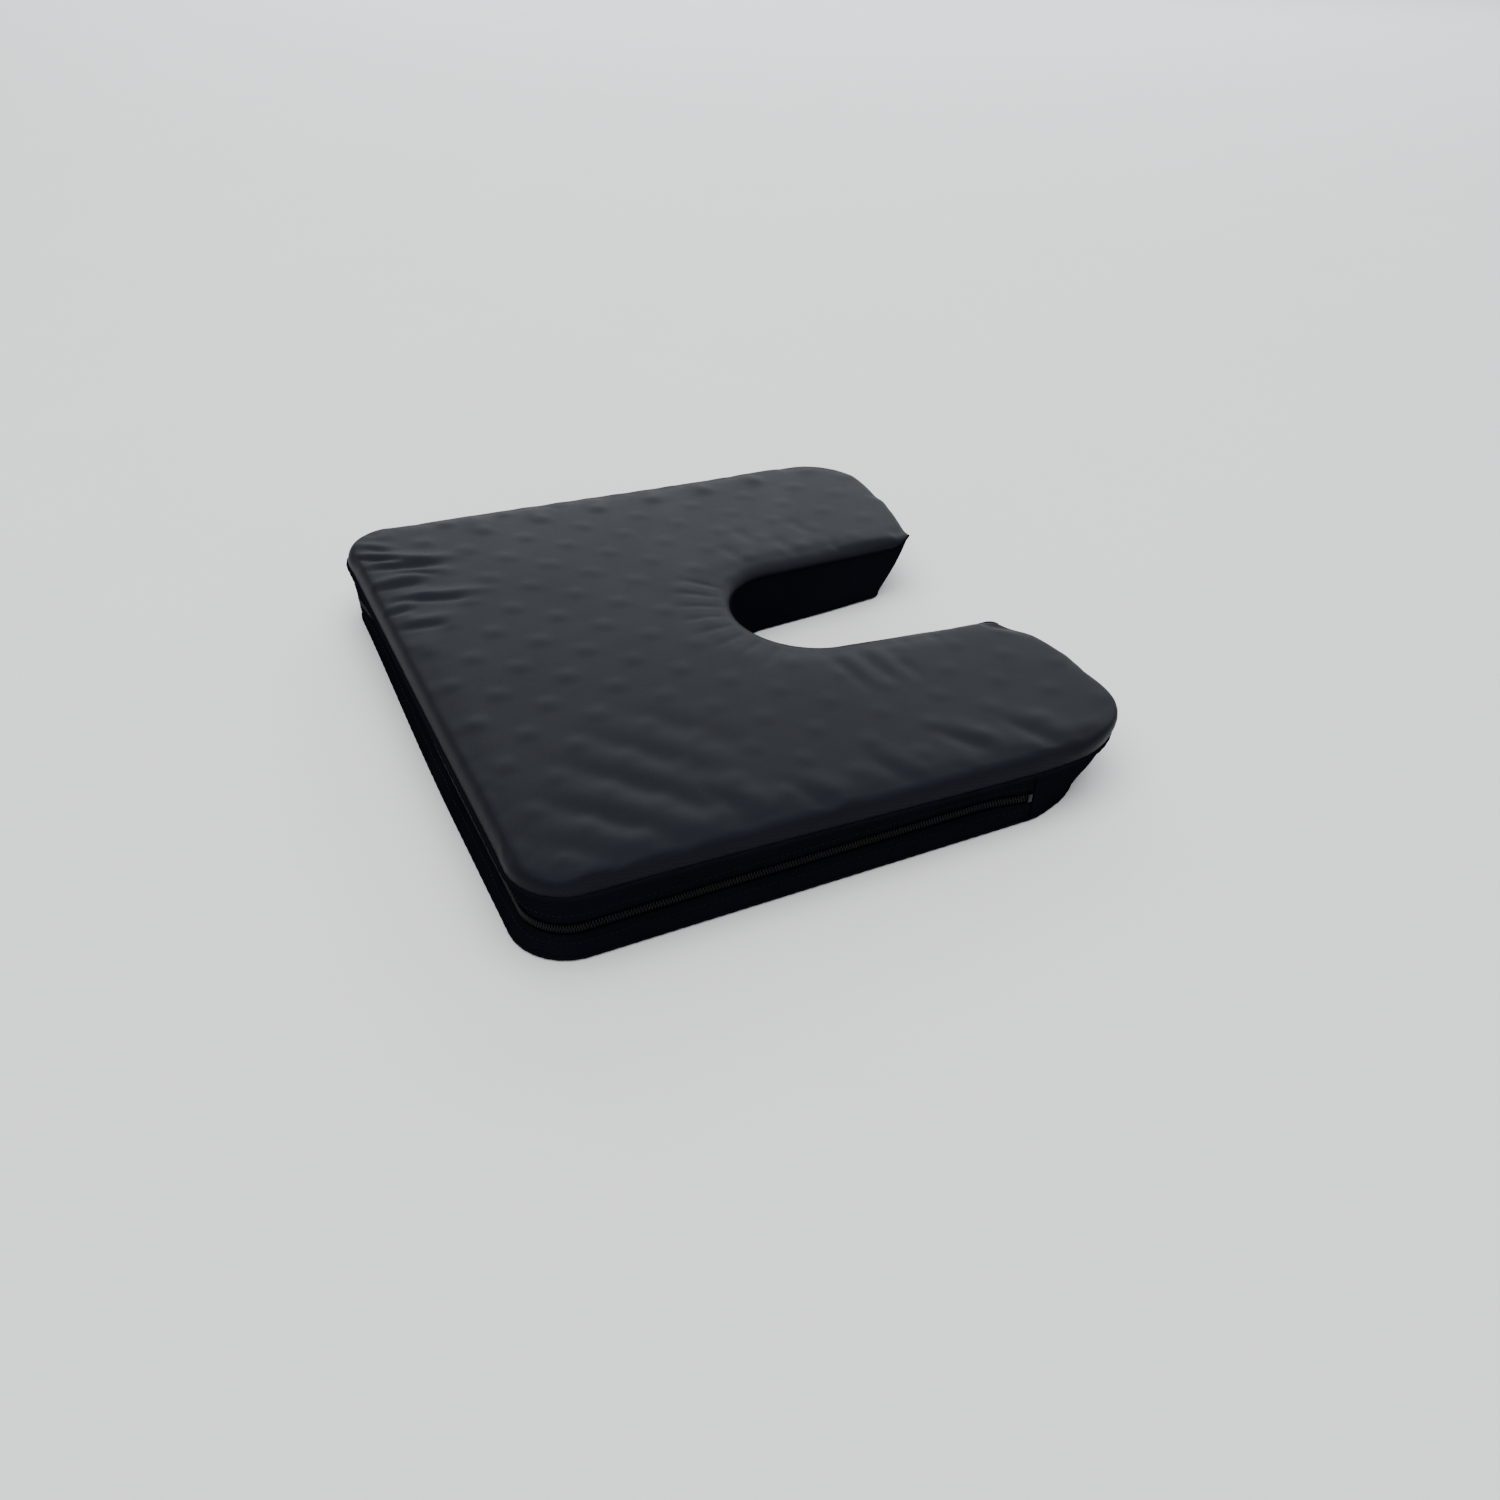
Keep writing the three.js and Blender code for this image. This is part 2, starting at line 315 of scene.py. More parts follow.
@dataclass(frozen=True)
class WovenCloth:
    """Smooth polyester cloth with a satin sheen.

    Attributes:
        name: the material's name.
        dark: painted shade in the weave's valleys, and the darker slubs and clouds.
        light: painted light on the threads' crowns, and the lighter slubs and clouds.
        roughness: the mean roughness.
        sheen: weight of the fuzz at grazing angles.
        pitch: thread pitch in metres.
        relief: height of the weave in metres.
        gloss: the specular level.
        turn: the weave's turn on the panel, in degrees.
        upright: True for strips that stand on edge.
        tint: the tint of the cloth's shine.
    """

    name: str
    dark: Colour
    light: Colour
    roughness: float = 0.5
    sheen: float = 0.0
    pitch: float = 0.00075
    relief: float = 0.00005
    gloss: float = 0.1
    turn: float = 3.0
    upright: bool = False
    tint: Colour = (0.74, 0.83, 1.0)

    def material(self) -> bpy.types.Material:
        """Builds the cloth: crossed threads with painted light on their crowns and painted shade
        in their valleys, slubs and slow random changes of tone.
        """
        graph = ShaderGraph(self.name)
        if self.upright:
            warp = graph.threads(self.pitch, "Z")
            weft = graph.threads(self.pitch, "X", 45.0)
        else:
            warp = graph.threads(self.pitch, "X", self.turn)
            weft = graph.threads(self.pitch, "Y", self.turn)
        slubs = graph.noise(1400.0, 3.0, graph.coordinates((1.0, 0.22, 1.0), self.turn))
        cloudy = graph.noise(22.0, 4.0)
        weave = warp * weft
        # The weave's share paints light on the threads' crowns and shade in their valleys; the
        # slubs and clouds are the cloth's own uneven tone.
        shade = weave * 0.45 + slubs * 0.3 + cloudy * 0.35
        graph.feed(
            Base_Color=graph.blend(shade, self.dark, self.light),
            Roughness=self.roughness + (cloudy - 0.5) * 0.12 + (slubs - 0.5) * 0.1,
            Normal=graph.bump(weave * 0.7 + slubs * 0.6, self.relief),
            Sheen_Weight=self.sheen,
            Sheen_Roughness=0.45,
            Specular_IOR_Level=self.gloss,
            Specular_Tint=(*self.tint, 1.0),
        )
        return graph.material


@dataclass(frozen=True)
class OpenCellFoam:
    """Polyurethane foam with open cells.

    Attributes:
        name: the material's name.
        skin: colour of the cut surface.
        cell: colour inside the cells, painted shade in their hollows.
    """

    name: str
    skin: Colour
    cell: Colour

    def material(self) -> bpy.types.Material:
        """Builds the foam: round cells with painted shade in them, in a matte surface."""
        graph = ShaderGraph(self.name)
        cells = graph.node(
            "ShaderNodeTexVoronoi",
            {"feature": "F1"},
            {"Vector": graph.coordinates(), "Scale": 1100.0},
            output="Distance",
        )
        patches = graph.noise(60.0, 3.0)
        # The cells' share of the colour is painted shade in their hollows; the patches are the
        # foam's own uneven tone.
        graph.feed(
            Base_Color=graph.blend(cells * 0.8 + patches * 0.3, self.cell, self.skin),
            Roughness=0.88 + patches * 0.1,
            Normal=graph.bump(cells, 0.0003),
        )
        return graph.material


@dataclass(frozen=True)
class OneColour:
    """What the finishes of a single colour share.

    Attributes:
        name: the material's name.
        colour: its colour.
    """

    name: str
    colour: Colour

    def times(self, factor: float) -> Colour:
        """The colour made lighter or darker."""
        return tuple(factor * value for value in self.colour)


@dataclass(frozen=True)
class WovenTape(OneColour):
    """Ribbed zip tape.

    Attributes:
        rib: pitch of the ribs along the tape, in metres.
    """

    rib: float = 0.0006

    def material(self) -> bpy.types.Material:
        """Builds the tape: fine ribs, with painted light on their crowns and painted shade between
        them, and a little fuzz.
        """
        graph = ShaderGraph(self.name)
        ribs = graph.threads(self.rib, "Z")
        fuzz = graph.noise(900.0, 3.0)
        # The ribs' share of the colour paints light on their crowns and shade between them; the
        # fuzz is the tape's own uneven tone.
        graph.feed(
            Base_Color=graph.blend(ribs * 0.4 + fuzz * 0.5, self.colour, self.times(2.0)),
            Roughness=0.72 + fuzz * 0.15,
            Normal=graph.bump(ribs * 0.6 + fuzz * 0.4, 0.00006),
            Specular_IOR_Level=0.05,
        )
        return graph.material


class NylonCoil(OneColour):
    """Drawn nylon, as in the coil's teeth."""

    def material(self) -> bpy.types.Material:
        """Builds the nylon: nearly smooth, with wear on its crowns."""
        graph = ShaderGraph(self.name)
        wear = graph.noise(420.0, 3.0)
        graph.feed(
            Base_Color=graph.blend(wear, self.colour, self.times(1.8)),
            Roughness=0.42 + wear * 0.18,
            Normal=graph.bump(wear, 0.00002),
            Specular_IOR_Level=0.12,
        )
        return graph.material


@dataclass(frozen=True)
class EnamelledZinc:
    """Cast zinc under black enamel, rubbed a little at its crowns.

    Attributes:
        name: the material's name.
        enamel: the enamel's colour.
        rubbed: the colour where the enamel has thinned.
    """

    name: str
    enamel: Colour
    rubbed: Colour

    def material(self) -> bpy.types.Material:
        """Builds the enamel: orange peel, and thin places that show the metal."""
        graph = ShaderGraph(self.name)
        peel = graph.noise(650.0, 2.0)
        worn = graph.node(
            "ShaderNodeValToRGB",
            {"stops": [(0.66, 0.0), (0.8, 1.0)]},
            {"Fac": graph.noise(240.0, 5.0)},
        )
        thin = graph.node("ShaderNodeRGBToBW", inputs={"Color": worn})
        graph.feed(
            Base_Color=graph.blend(thin, self.enamel, self.rubbed),
            Roughness=0.3 + peel * 0.12 + thin * 0.1,
            Metallic=thin * 0.7,
            Normal=graph.bump(peel, 0.00003),
            Specular_IOR_Level=0.2,
        )
        return graph.material


class SpunThread(OneColour):
    """Twisted polyester sewing thread."""

    def material(self) -> bpy.types.Material:
        """Builds the thread: a fine twist with a soft shine."""
        graph = ShaderGraph(self.name)
        twist = graph.noise(2600.0, 2.0)
        graph.feed(
            Base_Color=graph.blend(twist, self.colour, self.times(1.9)),
            Roughness=0.5 + twist * 0.2,
            Normal=graph.bump(twist, 0.00004),
            Specular_IOR_Level=0.06,
        )
        return graph.material


class StudioPaper(OneColour):
    """The plain pale surface the cushion lies on."""

    def material(self) -> bpy.types.Material:
        """Builds the paper: pale, matte and barely mottled."""
        graph = ShaderGraph(self.name)
        mottle = graph.noise(9.0, 2.0)
        graph.feed(
            Base_Color=graph.blend(mottle, self.colour, self.times(0.97)),
            Roughness=0.85,
        )
        return graph.material


class Looks(Enum):
    """Every finish of the object."""

    TOP = WovenCloth("top_cloth", (0.0028, 0.0031, 0.0048), (0.008, 0.0088, 0.0125))
    SIDE = WovenCloth(
        "side_cloth",
        (0.0016, 0.0017, 0.0027),
        (0.0068, 0.0074, 0.0115),
        roughness=0.8,
        gloss=0.0,
        upright=True,
    )
    BASE = WovenCloth(
        "base_cloth",
        (0.007, 0.0072, 0.009),
        (0.019, 0.0195, 0.023),
        roughness=0.75,
        sheen=0.05,
        pitch=0.0012,
    )
    FIRM_FOAM = OpenCellFoam("firm_foam", (0.36, 0.37, 0.39), (0.16, 0.165, 0.175))
    SOFT_FOAM = OpenCellFoam("soft_foam", (0.74, 0.69, 0.56), (0.42, 0.38, 0.29))
    TAPE = WovenTape("zip_tape_cloth", (0.0018, 0.0018, 0.0026))
    COIL = NylonCoil("coil_nylon", (0.003, 0.003, 0.0038))
    METAL = EnamelledZinc("enamelled_zinc", (0.006, 0.006, 0.0075), (0.022, 0.022, 0.024))
    THREAD = SpunThread("sewing_thread", (0.0045, 0.0048, 0.0066))

    @property
    def made(self) -> bpy.types.Material:
        """The finish's material, made once."""
        return bpy.data.materials.get(self.value.name) or self.value.material()


# ---------------------------------------------------------------- routes and meshes


def line(start: tuple[float, float], end: tuple[float, float]) -> Array:
    """A straight stretch of a route.

    Args:
        start: where it starts.
        end: where it ends.

    Returns:
        Its points, about a millimetre apart.
    """
    count = max(2, round(math.dist(start, end) / MM))
    return np.linspace(start, end, count)


def arc(centre: tuple[float, float], radius: float, first: float, last: float) -> Array:
    """A round stretch of a route.

    Args:
        centre: the arc's centre.
        radius: its radius.
        first: the angle it starts at, in degrees.
        last: the angle it ends at, in degrees.

    Returns:
        Its points, about half a millimetre apart.
    """
    count = max(9, round(radius * abs(last - first) / 28 / MM))
    turn = np.radians(np.linspace(first, last, count))
    return np.column_stack(
        [centre[0] + radius * np.cos(turn), centre[1] + radius * np.sin(turn)]
    )


def mirrored(route: Array) -> Array:
    """The other half of a route that is the same on both sides, run in the same sense."""
    return route[::-1] * (-1.0, 1.0)


def even(route: Array, count: int) -> Array:
    """Spreads points evenly along a route.

    Args:
        route: the route's points.
        count: how many points to return.

    Returns:
        Points at equal distances.
    """
    run = travelled(route)
    places = np.linspace(0.0, run[-1], count)
    return np.column_stack([np.interp(places, run, route[:, k]) for k in range(2)])


def travelled(route: Array) -> Array:
    """The distance along a route at each of its points."""
    steps = np.linalg.norm(np.diff(route, axis=0), axis=1)
    return np.concatenate([[0.0], np.cumsum(steps)])


def length(route: Array) -> float:
    """The length of a route in metres."""
    return float(np.linalg.norm(np.diff(route, axis=0), axis=1).sum())


def outward(route: Array) -> Array:
    """Unit normals to the right of a route's direction."""
    along = np.gradient(route, axis=0)
    along /= np.linalg.norm(along, axis=1)[:, None]
    return np.column_stack([along[:, 1], -along[:, 0]])


def nearest(share: Array, count: int) -> Array:
    """The grid line, out of so many steps, that each share from 0 to 1 lies on."""
    return np.rint(share * count).astype(int)


def ramp(value: Array, start: float, end: float) -> Array:
    """A smooth step from 0 at start to 1 at end."""
    share = np.clip((np.asarray(value, float) - start) / (end - start), 0.0, 1.0)
    return share * share * (3.0 - 2.0 * share)


def linked(name: str, data: bpy.types.ID) -> bpy.types.Object:
    """Makes an object of mesh, light or camera data and puts it in the scene."""
    made = bpy.data.objects.new(name, data)
    bpy.context.scene.collection.objects.link(made)
    return made


def standing(centre: Array, normal: Array) -> Matrix:
    """The place of a small piece on a wall: +X along the wall, +Y out of it and +Z up."""
    return Matrix(
        (
            (-normal[1], normal[0], 0.0, centre[0]),
            (normal[0], normal[1], 0.0, centre[1]),
            (0.0, 0.0, 1.0, centre[2]),
            (0.0, 0.0, 0.0, 1.0),
        )
    )


def shown(mesh: bmesh.types.BMesh, name: str, look: Looks) -> bpy.types.Object:
    """Turns a bmesh into a smooth-shaded object with its finish.

    Args:
        mesh: the bmesh, which is freed.
        name: the object's name.
        look: its finish.

    Returns:
        The object, linked to the scene.
    """
    data = bpy.data.meshes.new(name)
    for face in mesh.faces:
        face.smooth = True
    mesh.to_mesh(data)
    mesh.free()
    data.materials.append(look.made)
    return linked(name, data)


def cloth_grid(
    columns: int, rows: int, place: Placer, facing: Vector | None
) -> bmesh.types.BMesh:
    """A sheet of quads laid where a function says.

    Args:
        columns: faces across.
        rows: faces along.
        place: gives points for shares across and along, each 0 to 1.
        facing: a direction that the first corner's face looks, or None to keep the grid's own.

    Returns:
        The sheet.
    """
    mesh = bmesh.new()
    bmesh.ops.create_grid(mesh, x_segments=columns, y_segments=rows, size=1.0)
    flat = np.array([vert.co[:2] for vert in mesh.verts])
    spots = place((flat[:, 0] + 1.0) / 2.0, (flat[:, 1] + 1.0) / 2.0)
    for vert, spot in zip(mesh.verts, spots):
        vert.co = spot
    mesh.normal_update()
    if facing is not None:
        looks = sum((face.normal * face.calc_area() for face in mesh.faces), Vector())
        if looks.dot(facing) < 0:
            bmesh.ops.reverse_faces(mesh, faces=mesh.faces[:])
    return mesh


def extruded(
    mesh: bmesh.types.BMesh, faces: list[bmesh.types.BMFace]
) -> list[bmesh.types.BMVert]:
    """Extrudes faces in place and returns the new points, still to be moved."""
    grown = bmesh.ops.extrude_face_region(mesh, geom=faces)["geom"]
    return [element for element in grown if isinstance(element, bmesh.types.BMVert)]


def thicken(piece: bpy.types.Object, thickness: float) -> bpy.types.Object:
    """Gives a sheet its thickness, inwards from its face.

    Args:
        piece: the sheet.
        thickness: the cloth's thickness.

    Returns:
        The sheet.
    """
    wall = piece.modifiers.new("cloth", "SOLIDIFY")
    wall.thickness = thickness
    wall.offset = -1.0
    wall.use_rim = True
    return piece


# ---------------------------------------------------------------- the cushion's form


@dataclass
class CushionForm:
    """The shape that every panel, seam and zip follows.

    Attributes:
        half_w: half the cover's width.
        half_d: half its depth.
        thickness: the height at the front.
        seam: the top seam's height at the front.
        zip_z: the zip's height.
        zip_end: how far back the zip runs.
        front_r, rear_r: radii of the outline's corners.
        slot_depth, slot_r: how far the slot runs in, and the radius of its round end.
        mouth, lip_r: half the slot's mouth, and the radius of its lips.
        lean: how far the back's foot stands in front of its top.
        side_roll, back_roll, slot_roll: how far the top's edges roll in.
        slot_drop: how much lower the top is at the slot's edge.
        height_fall, seam_fall: how much lower the top and its seam are at the back.
        dome: how much higher the middle is.
        corner_tuck, front_tuck: how far the rear corners and the front left are tucked in below.
        lobe_swell, lip_give: how far the lobes' ends spread, and how far the right lip gives.
        tuck_reach: how far from a side the front's tuck and the slider's clear stretch begin.
    """

    half_w: float
    half_d: float
    thickness: float
    seam: float
    zip_z: float
    zip_end: float
    front_r: float = 29 * MM
    rear_r: float = 42 * MM
    slot_depth: float = 156 * MM
    slot_r: float = 44 * MM
    mouth: float = 50 * MM
    lip_r: float = 16 * MM
    lean: float = 26 * MM
    side_roll: float = 6 * MM
    back_roll: float = 6.5 * MM
    slot_roll: float = 8 * MM
    slot_drop: float = 5 * MM
    height_fall: float = 8.5 * MM
    seam_fall: float = 9.5 * MM
    dome: float = 3.0 * MM
    corner_tuck: float = 13 * MM
    front_tuck: float = 4.5 * MM
    lobe_swell: float = 8 * MM
    lip_give: float = 12 * MM
    tuck_reach: float = 70 * MM

    @property
    def slot_centre(self) -> float:
        """Y of the centre of the slot's round end."""
        return self.half_d - self.slot_depth + self.slot_r

    @property
    def lip_x(self) -> float:
        """X of the centre of the lip's round."""
        return self.mouth + self.lip_r

    def rear_arc(self) -> Array:
        """The outline's round corner at the left back, from the back to the side."""
        return arc((self.rear_r - self.half_w, self.half_d - self.rear_r), self.rear_r, 90, 180)

    def front_stretch(self, start: float) -> Array:
        """The outline from a place on the left side round to the front's middle."""
        corner_x, corner_y = self.front_r - self.half_w, self.front_r - self.half_d
        return np.vstack(
            [
                line((-self.half_w, start), (-self.half_w, corner_y)),
                arc((corner_x, corner_y), self.front_r, 180, 270)[1:],
                line((corner_x, -self.half_d), (0.0, -self.half_d))[1:],
            ]
        )

    def outline(self) -> Array:
        """The whole outline, from the left lip round the front to the right lip."""
        back = line((-self.lip_x, self.half_d), (self.rear_r - self.half_w, self.half_d))
        front = self.front_stretch(self.half_d - self.rear_r)
        half = np.vstack([back, self.rear_arc()[1:], front[1:]])
        return np.vstack([half, mirrored(half)[1:]])

    def slot_parts(self) -> tuple[Array, Array, Array]:
        """The left half of the slot's edge: its lip, its wall and half its round end."""
        wall_top = self.half_d - self.lip_r
        return (
            arc((-self.lip_x, wall_top), self.lip_r, 90, 0),
            line((-self.mouth, wall_top), (-self.slot_r, self.slot_centre)),
            arc((0.0, self.slot_centre), self.slot_r, 180, 270),
        )

    def slot_edge(self) -> Array:
        """The slot's edge, from the right lip round to the left one."""
        lip, wall, end = self.slot_parts()
        half = np.vstack([lip, wall[1:], end[1:]])
        return np.vstack([half * (-1.0, 1.0), half[::-1][1:]])

    def inset(self, x: Array, y: Array) -> Array:
        """How far points lie inside the outline, the slot left aside."""
        corner = np.where(y < 0, self.front_r, self.rear_r)
        over_x = np.abs(x) - (self.half_w - corner)
        over_y = np.abs(y) - (self.half_d - corner)
        outside = np.hypot(np.maximum(over_x, 0), np.maximum(over_y, 0))
        return corner - outside - np.minimum(np.maximum(over_x, over_y), 0)

    def slot_gap(self, x: Array, y: Array) -> Array:
        """How far points lie from the slot's edge."""
        wall = self.half_d - self.lip_r - self.slot_centre
        reach = np.clip((y - self.slot_centre) / wall, 0, 1)
        beside = np.abs(x) - (self.slot_r + (self.mouth - self.slot_r) * reach)
        round_end = np.hypot(x, y - self.slot_centre) - self.slot_r
        return np.maximum(np.where(y < self.slot_centre, round_end, beside), 0.0)

    def seam_z(self, y: Array) -> Array:
        """The top seam's height, which falls towards the back."""
        return self.seam - self.seam_fall * ramp(y, -self.half_d, self.half_d)

    def roll(self, x: Array, y: Array) -> Array:
        """How far the top edge's roll reaches in at a point: a little more along the back."""
        behind = ramp(y, self.half_d - 1.6 * self.rear_r, self.half_d)
        inside = ramp(self.half_w - np.abs(x), 0.0, self.rear_r)
        return self.side_roll + (self.back_roll - self.side_roll) * behind * inside

    def top_z(self, x: Array, y: Array) -> Array:
        """The height of the smooth top over a point."""
        seam = self.seam_z(y)
        high = self.thickness - self.height_fall * ramp(y, -self.half_d, self.half_d)
        high = high + self.dome * (1 - (x / self.half_w) ** 2) * (1 - (y / self.half_d) ** 2)
        rise = 1.0 - np.clip(self.inset(x, y) / self.roll(x, y), 0.0, 1.0)
        rolled = seam + (high - seam) * np.sqrt(np.maximum(1.0 - rise**2.3, 0.0))
        fall = 1.0 - np.clip(self.slot_gap(x, y) / self.slot_roll, 0.0, 1.0)
        return rolled - self.slot_drop * (1.0 - np.sqrt(np.maximum(1.0 - fall**2, 0.0)))

    def leaned(self, points: Array) -> Array:
        """Leans the walls at the back and the front left in, and spreads the lobes' ends."""
        moved = points.copy()
        x, y = points[:, 0], points[:, 1]
        low = 1.0 - points[:, 2] / self.thickness
        reach = np.clip((y - self.zip_end) / (self.half_d - self.zip_end), 0.0, 1.0)
        outer = ramp(np.abs(x), self.half_w - 2.2 * self.rear_r, self.half_w)
        moved[:, 1] -= self.lean * reach * low
        moved[:, 0] -= np.sign(x) * self.corner_tuck * outer * ramp(reach, 0.0, 0.9) * low
        front = ramp(-y, self.half_d - self.tuck_reach, self.half_d)
        left = ramp(-x, -60 * MM, self.half_w)
        moved[:, 1] += self.front_tuck * front * left * low
        return moved + np.column_stack([0 * x, self.lobe_end(x, y), 0 * x])

    def lobe_end(self, x: Array, y: Array) -> Array:
        """How far the lobes' ends have spread to the back. The right one's lip gives way."""
        near_end = ramp(y, self.half_d - 62 * MM, self.half_d)
        spread = self.lobe_swell * ramp(np.abs(x), 0.3 * self.half_w, 0.62 * self.half_w)
        given = self.lip_give * (1.0 - ramp(x, self.slot_r, self.slot_r + 34 * MM)) * (x > 0)
        return near_end * (spread - given)

    def pull_in(self, x: Array, y: Array) -> Array:
        """How much of the sides' waist a place takes: none where the slider runs."""
        clear = ramp(-x, self.half_w - self.tuck_reach, self.half_w - 0.8 * self.front_r)
        return (1.0 - clear) * (1.0 - ramp(y, self.zip_end - 30 * MM, self.zip_end + 8 * MM))


# ---------------------------------------------------------------- folds in the top panel


@dataclass(frozen=True)
class Fold:
    """One crease or ridge in the cloth.

    Attributes:
        x, y: where it starts, in millimetres.
        heading: where it runs to, in degrees from +X.
        run: its length in millimetres.
        width: its half-width in millimetres.
        height: its height in millimetres; below zero it is a valley.
    """

    x: float
    y: float
    heading: float
    run: float
    width: float
    height: float

    def relief(self, x: Array, y: Array) -> Array:
        """The fold's height over points in metres."""
        turn = math.radians(self.heading)
        along = (x / MM - self.x) * math.cos(turn) + (y / MM - self.y) * math.sin(turn)
        across = (y / MM - self.y) * math.cos(turn) - (x / MM - self.x) * math.sin(turn)
        share = along / self.run
        body = ramp(share, -0.1, 0.5) * (1.0 - ramp(share, 0.7, 1.15))
        spread = self.width * (0.8 + 0.4 * np.clip(share, 0.0, 1.0))
        return self.height * MM * body * np.exp(-((across / spread) ** 2))


@dataclass
class TopFolds:
    """The relief of the top panel: the foam's peaks, and the folds the sewing left.

    Attributes:
        form: the cushion's form.
        pitch: the egg-crate foam's pitch.
        lattice_x, lattice_y: where one peak lies.
        lattice_turn: the foam's turn under the cover, in degrees.
        peak: how high the peaks show.
    """

    form: CushionForm
    pitch: float = 38.1 * MM
    lattice_x: float = -104 * MM
    lattice_y: float = -161 * MM
    lattice_turn: float = 3.4
    peak: float = 0.5 * MM

    def front_puckers(self) -> list[Fold]:
        """Puckers that fan out from the front seam, closest together at its left end."""
        left = [
            (-160, -164, 48, 28, 4.2, 0.8),
            (-148, -173, 64, 50, 3.8, 1.2),
            (-132, -171, 80, 60, 4.4, 1.3),
            (-119, -156, 72, 34, 3.2, 0.7),
            (-108, -173, 88, 42, 4.8, 1.2),
            (-91, -167, 76, 64, 4.0, 0.9),
            (-77, -174, 94, 26, 3.6, 0.7),
            (-61, -170, 82, 40, 4.4, 0.8),
        ]
        crests = [Fold(*fold) for fold in left]
        valleys = [
            Fold(x + 1.4 * width, y + 3, turn - 5, 0.75 * run, 0.7 * width, -0.9 * high)
            for x, y, turn, run, width, high in left
        ]
        spaced = [(-36, 88, 26, 0.45), (6, 70, 18, 0.3), (49, 98, 28, 0.3), (92, 76, 20, 0.35)]
        right = [Fold(x, -174, turn, run, 6.0, high) for x, turn, run, high in spaced]
        return crests + valleys + right

    def corner_folds(self) -> list[Fold]:
        """Long diagonal folds across the front right quarter."""
        starts = [
            (62, -84, 41, 74, 0.35),
            (70, -112, 39, 96, 0.6),
            (86, -134, 42, 122, 0.85),
            (112, -150, 44, 92, 1.0),
            (140, -162, 52, 66, 0.7),
        ]
        valleys = [Fold(x, y, turn, run, 6.5, -high) for x, y, turn, run, high in starts]
        crests = [
            Fold(x - 9, y + 9, turn + 2, run, 8.5, 0.8 * high) for x, y, turn, run, high in starts
        ]
        return valleys + crests

    def lobe_folds(self) -> list[Fold]:
        """Creases across the right lobe, from the slot towards the side."""
        slot_side = [Fold(100, y + 3, 186, 50, 4.6, -0.45) for y in (78, 62, 45)]
        slot_side += [Fold(98, y + 3, 186, 48, 5.0, 0.3) for y in (70, 53)]
        pulls = [(138, 98, 30), (134, 58, 36), (140, 16, 22), (144, -34, 30), (128, -74, 26)]
        near_edge = [Fold(x, y, turn, 40, 5.2, -0.7) for x, y, turn in pulls]
        crests = [Fold(x - 5, y + 10, turn, 42, 7.0, 0.55) for x, y, turn in pulls]
        return slot_side + near_edge + crests

    def slot_folds(self) -> list[Fold]:
        """Small creases that leave the slot's round end, and dimples on the left lobe."""
        reach = self.form.slot_r / MM + 2
        centre = self.form.slot_centre / MM
        ring = []
        for angle in range(232, 318, 12):
            turn = math.radians(angle)
            place = (reach * math.cos(turn), centre + reach * math.sin(turn))
            ring.append(Fold(*place, angle, 30, 2.8, -0.35))
        left = [(-53, 46), (-55, 81), (-72, 63), (-74, 101)]
        return ring + [Fold(x, y, 190, 24, 5.0, -0.5) for x, y in left]

    def far_edge(self) -> list[Fold]:
        """The waves of the left edge."""
        return [Fold(-178, y, 8, 30, 7.5, 0.7) for y in (98, 60, 25, -14, -55, -92)]

    def wave(self, x: Array, y: Array) -> Array:
        """The egg-crate foam's lattice: 1 over a peak, -1 over a hollow."""
        turn = math.radians(self.lattice_turn)
        east, north = x - self.lattice_x, y - self.lattice_y
        across = east * math.cos(turn) + north * math.sin(turn)
        along = north * math.cos(turn) - east * math.sin(turn)
        return np.cos(2 * math.pi * across / self.pitch) * np.cos(2 * math.pi * along / self.pitch)

    def peaks(self, x: Array, y: Array) -> Array:
        """The foam's peaks, drawn tight by the cloth, stronger towards the front."""
        tips = np.maximum(self.wave(x, y), 0.0) ** 2.2 - 0.25
        to_front = ramp(-y, -40 * MM, 130 * MM)
        to_sides = ramp(np.abs(x), 110 * MM, 160 * MM)
        return self.peak * (0.55 + 0.45 * to_front + 0.35 * to_sides) * tips

    def relief(self, x: Array, y: Array) -> Array:
        """How far the cloth stands off the smooth top.

        Args:
            x: places across.
            y: places along.

        Returns:
            The relief in metres, nothing at the seams.
        """
        front = self.front_puckers() + self.corner_folds()
        folds = front + self.lobe_folds() + self.slot_folds() + self.far_edge()
        height = self.peaks(x, y) + sum(fold.relief(x, y) for fold in folds)
        at_seam = ramp(self.form.inset(x, y), 0.0, 7 * MM)
        at_slot = ramp(self.form.slot_gap(x, y), 0.0, 5 * MM)
        return height * at_seam * at_slot


# ---------------------------------------------------------------- the cover's panels


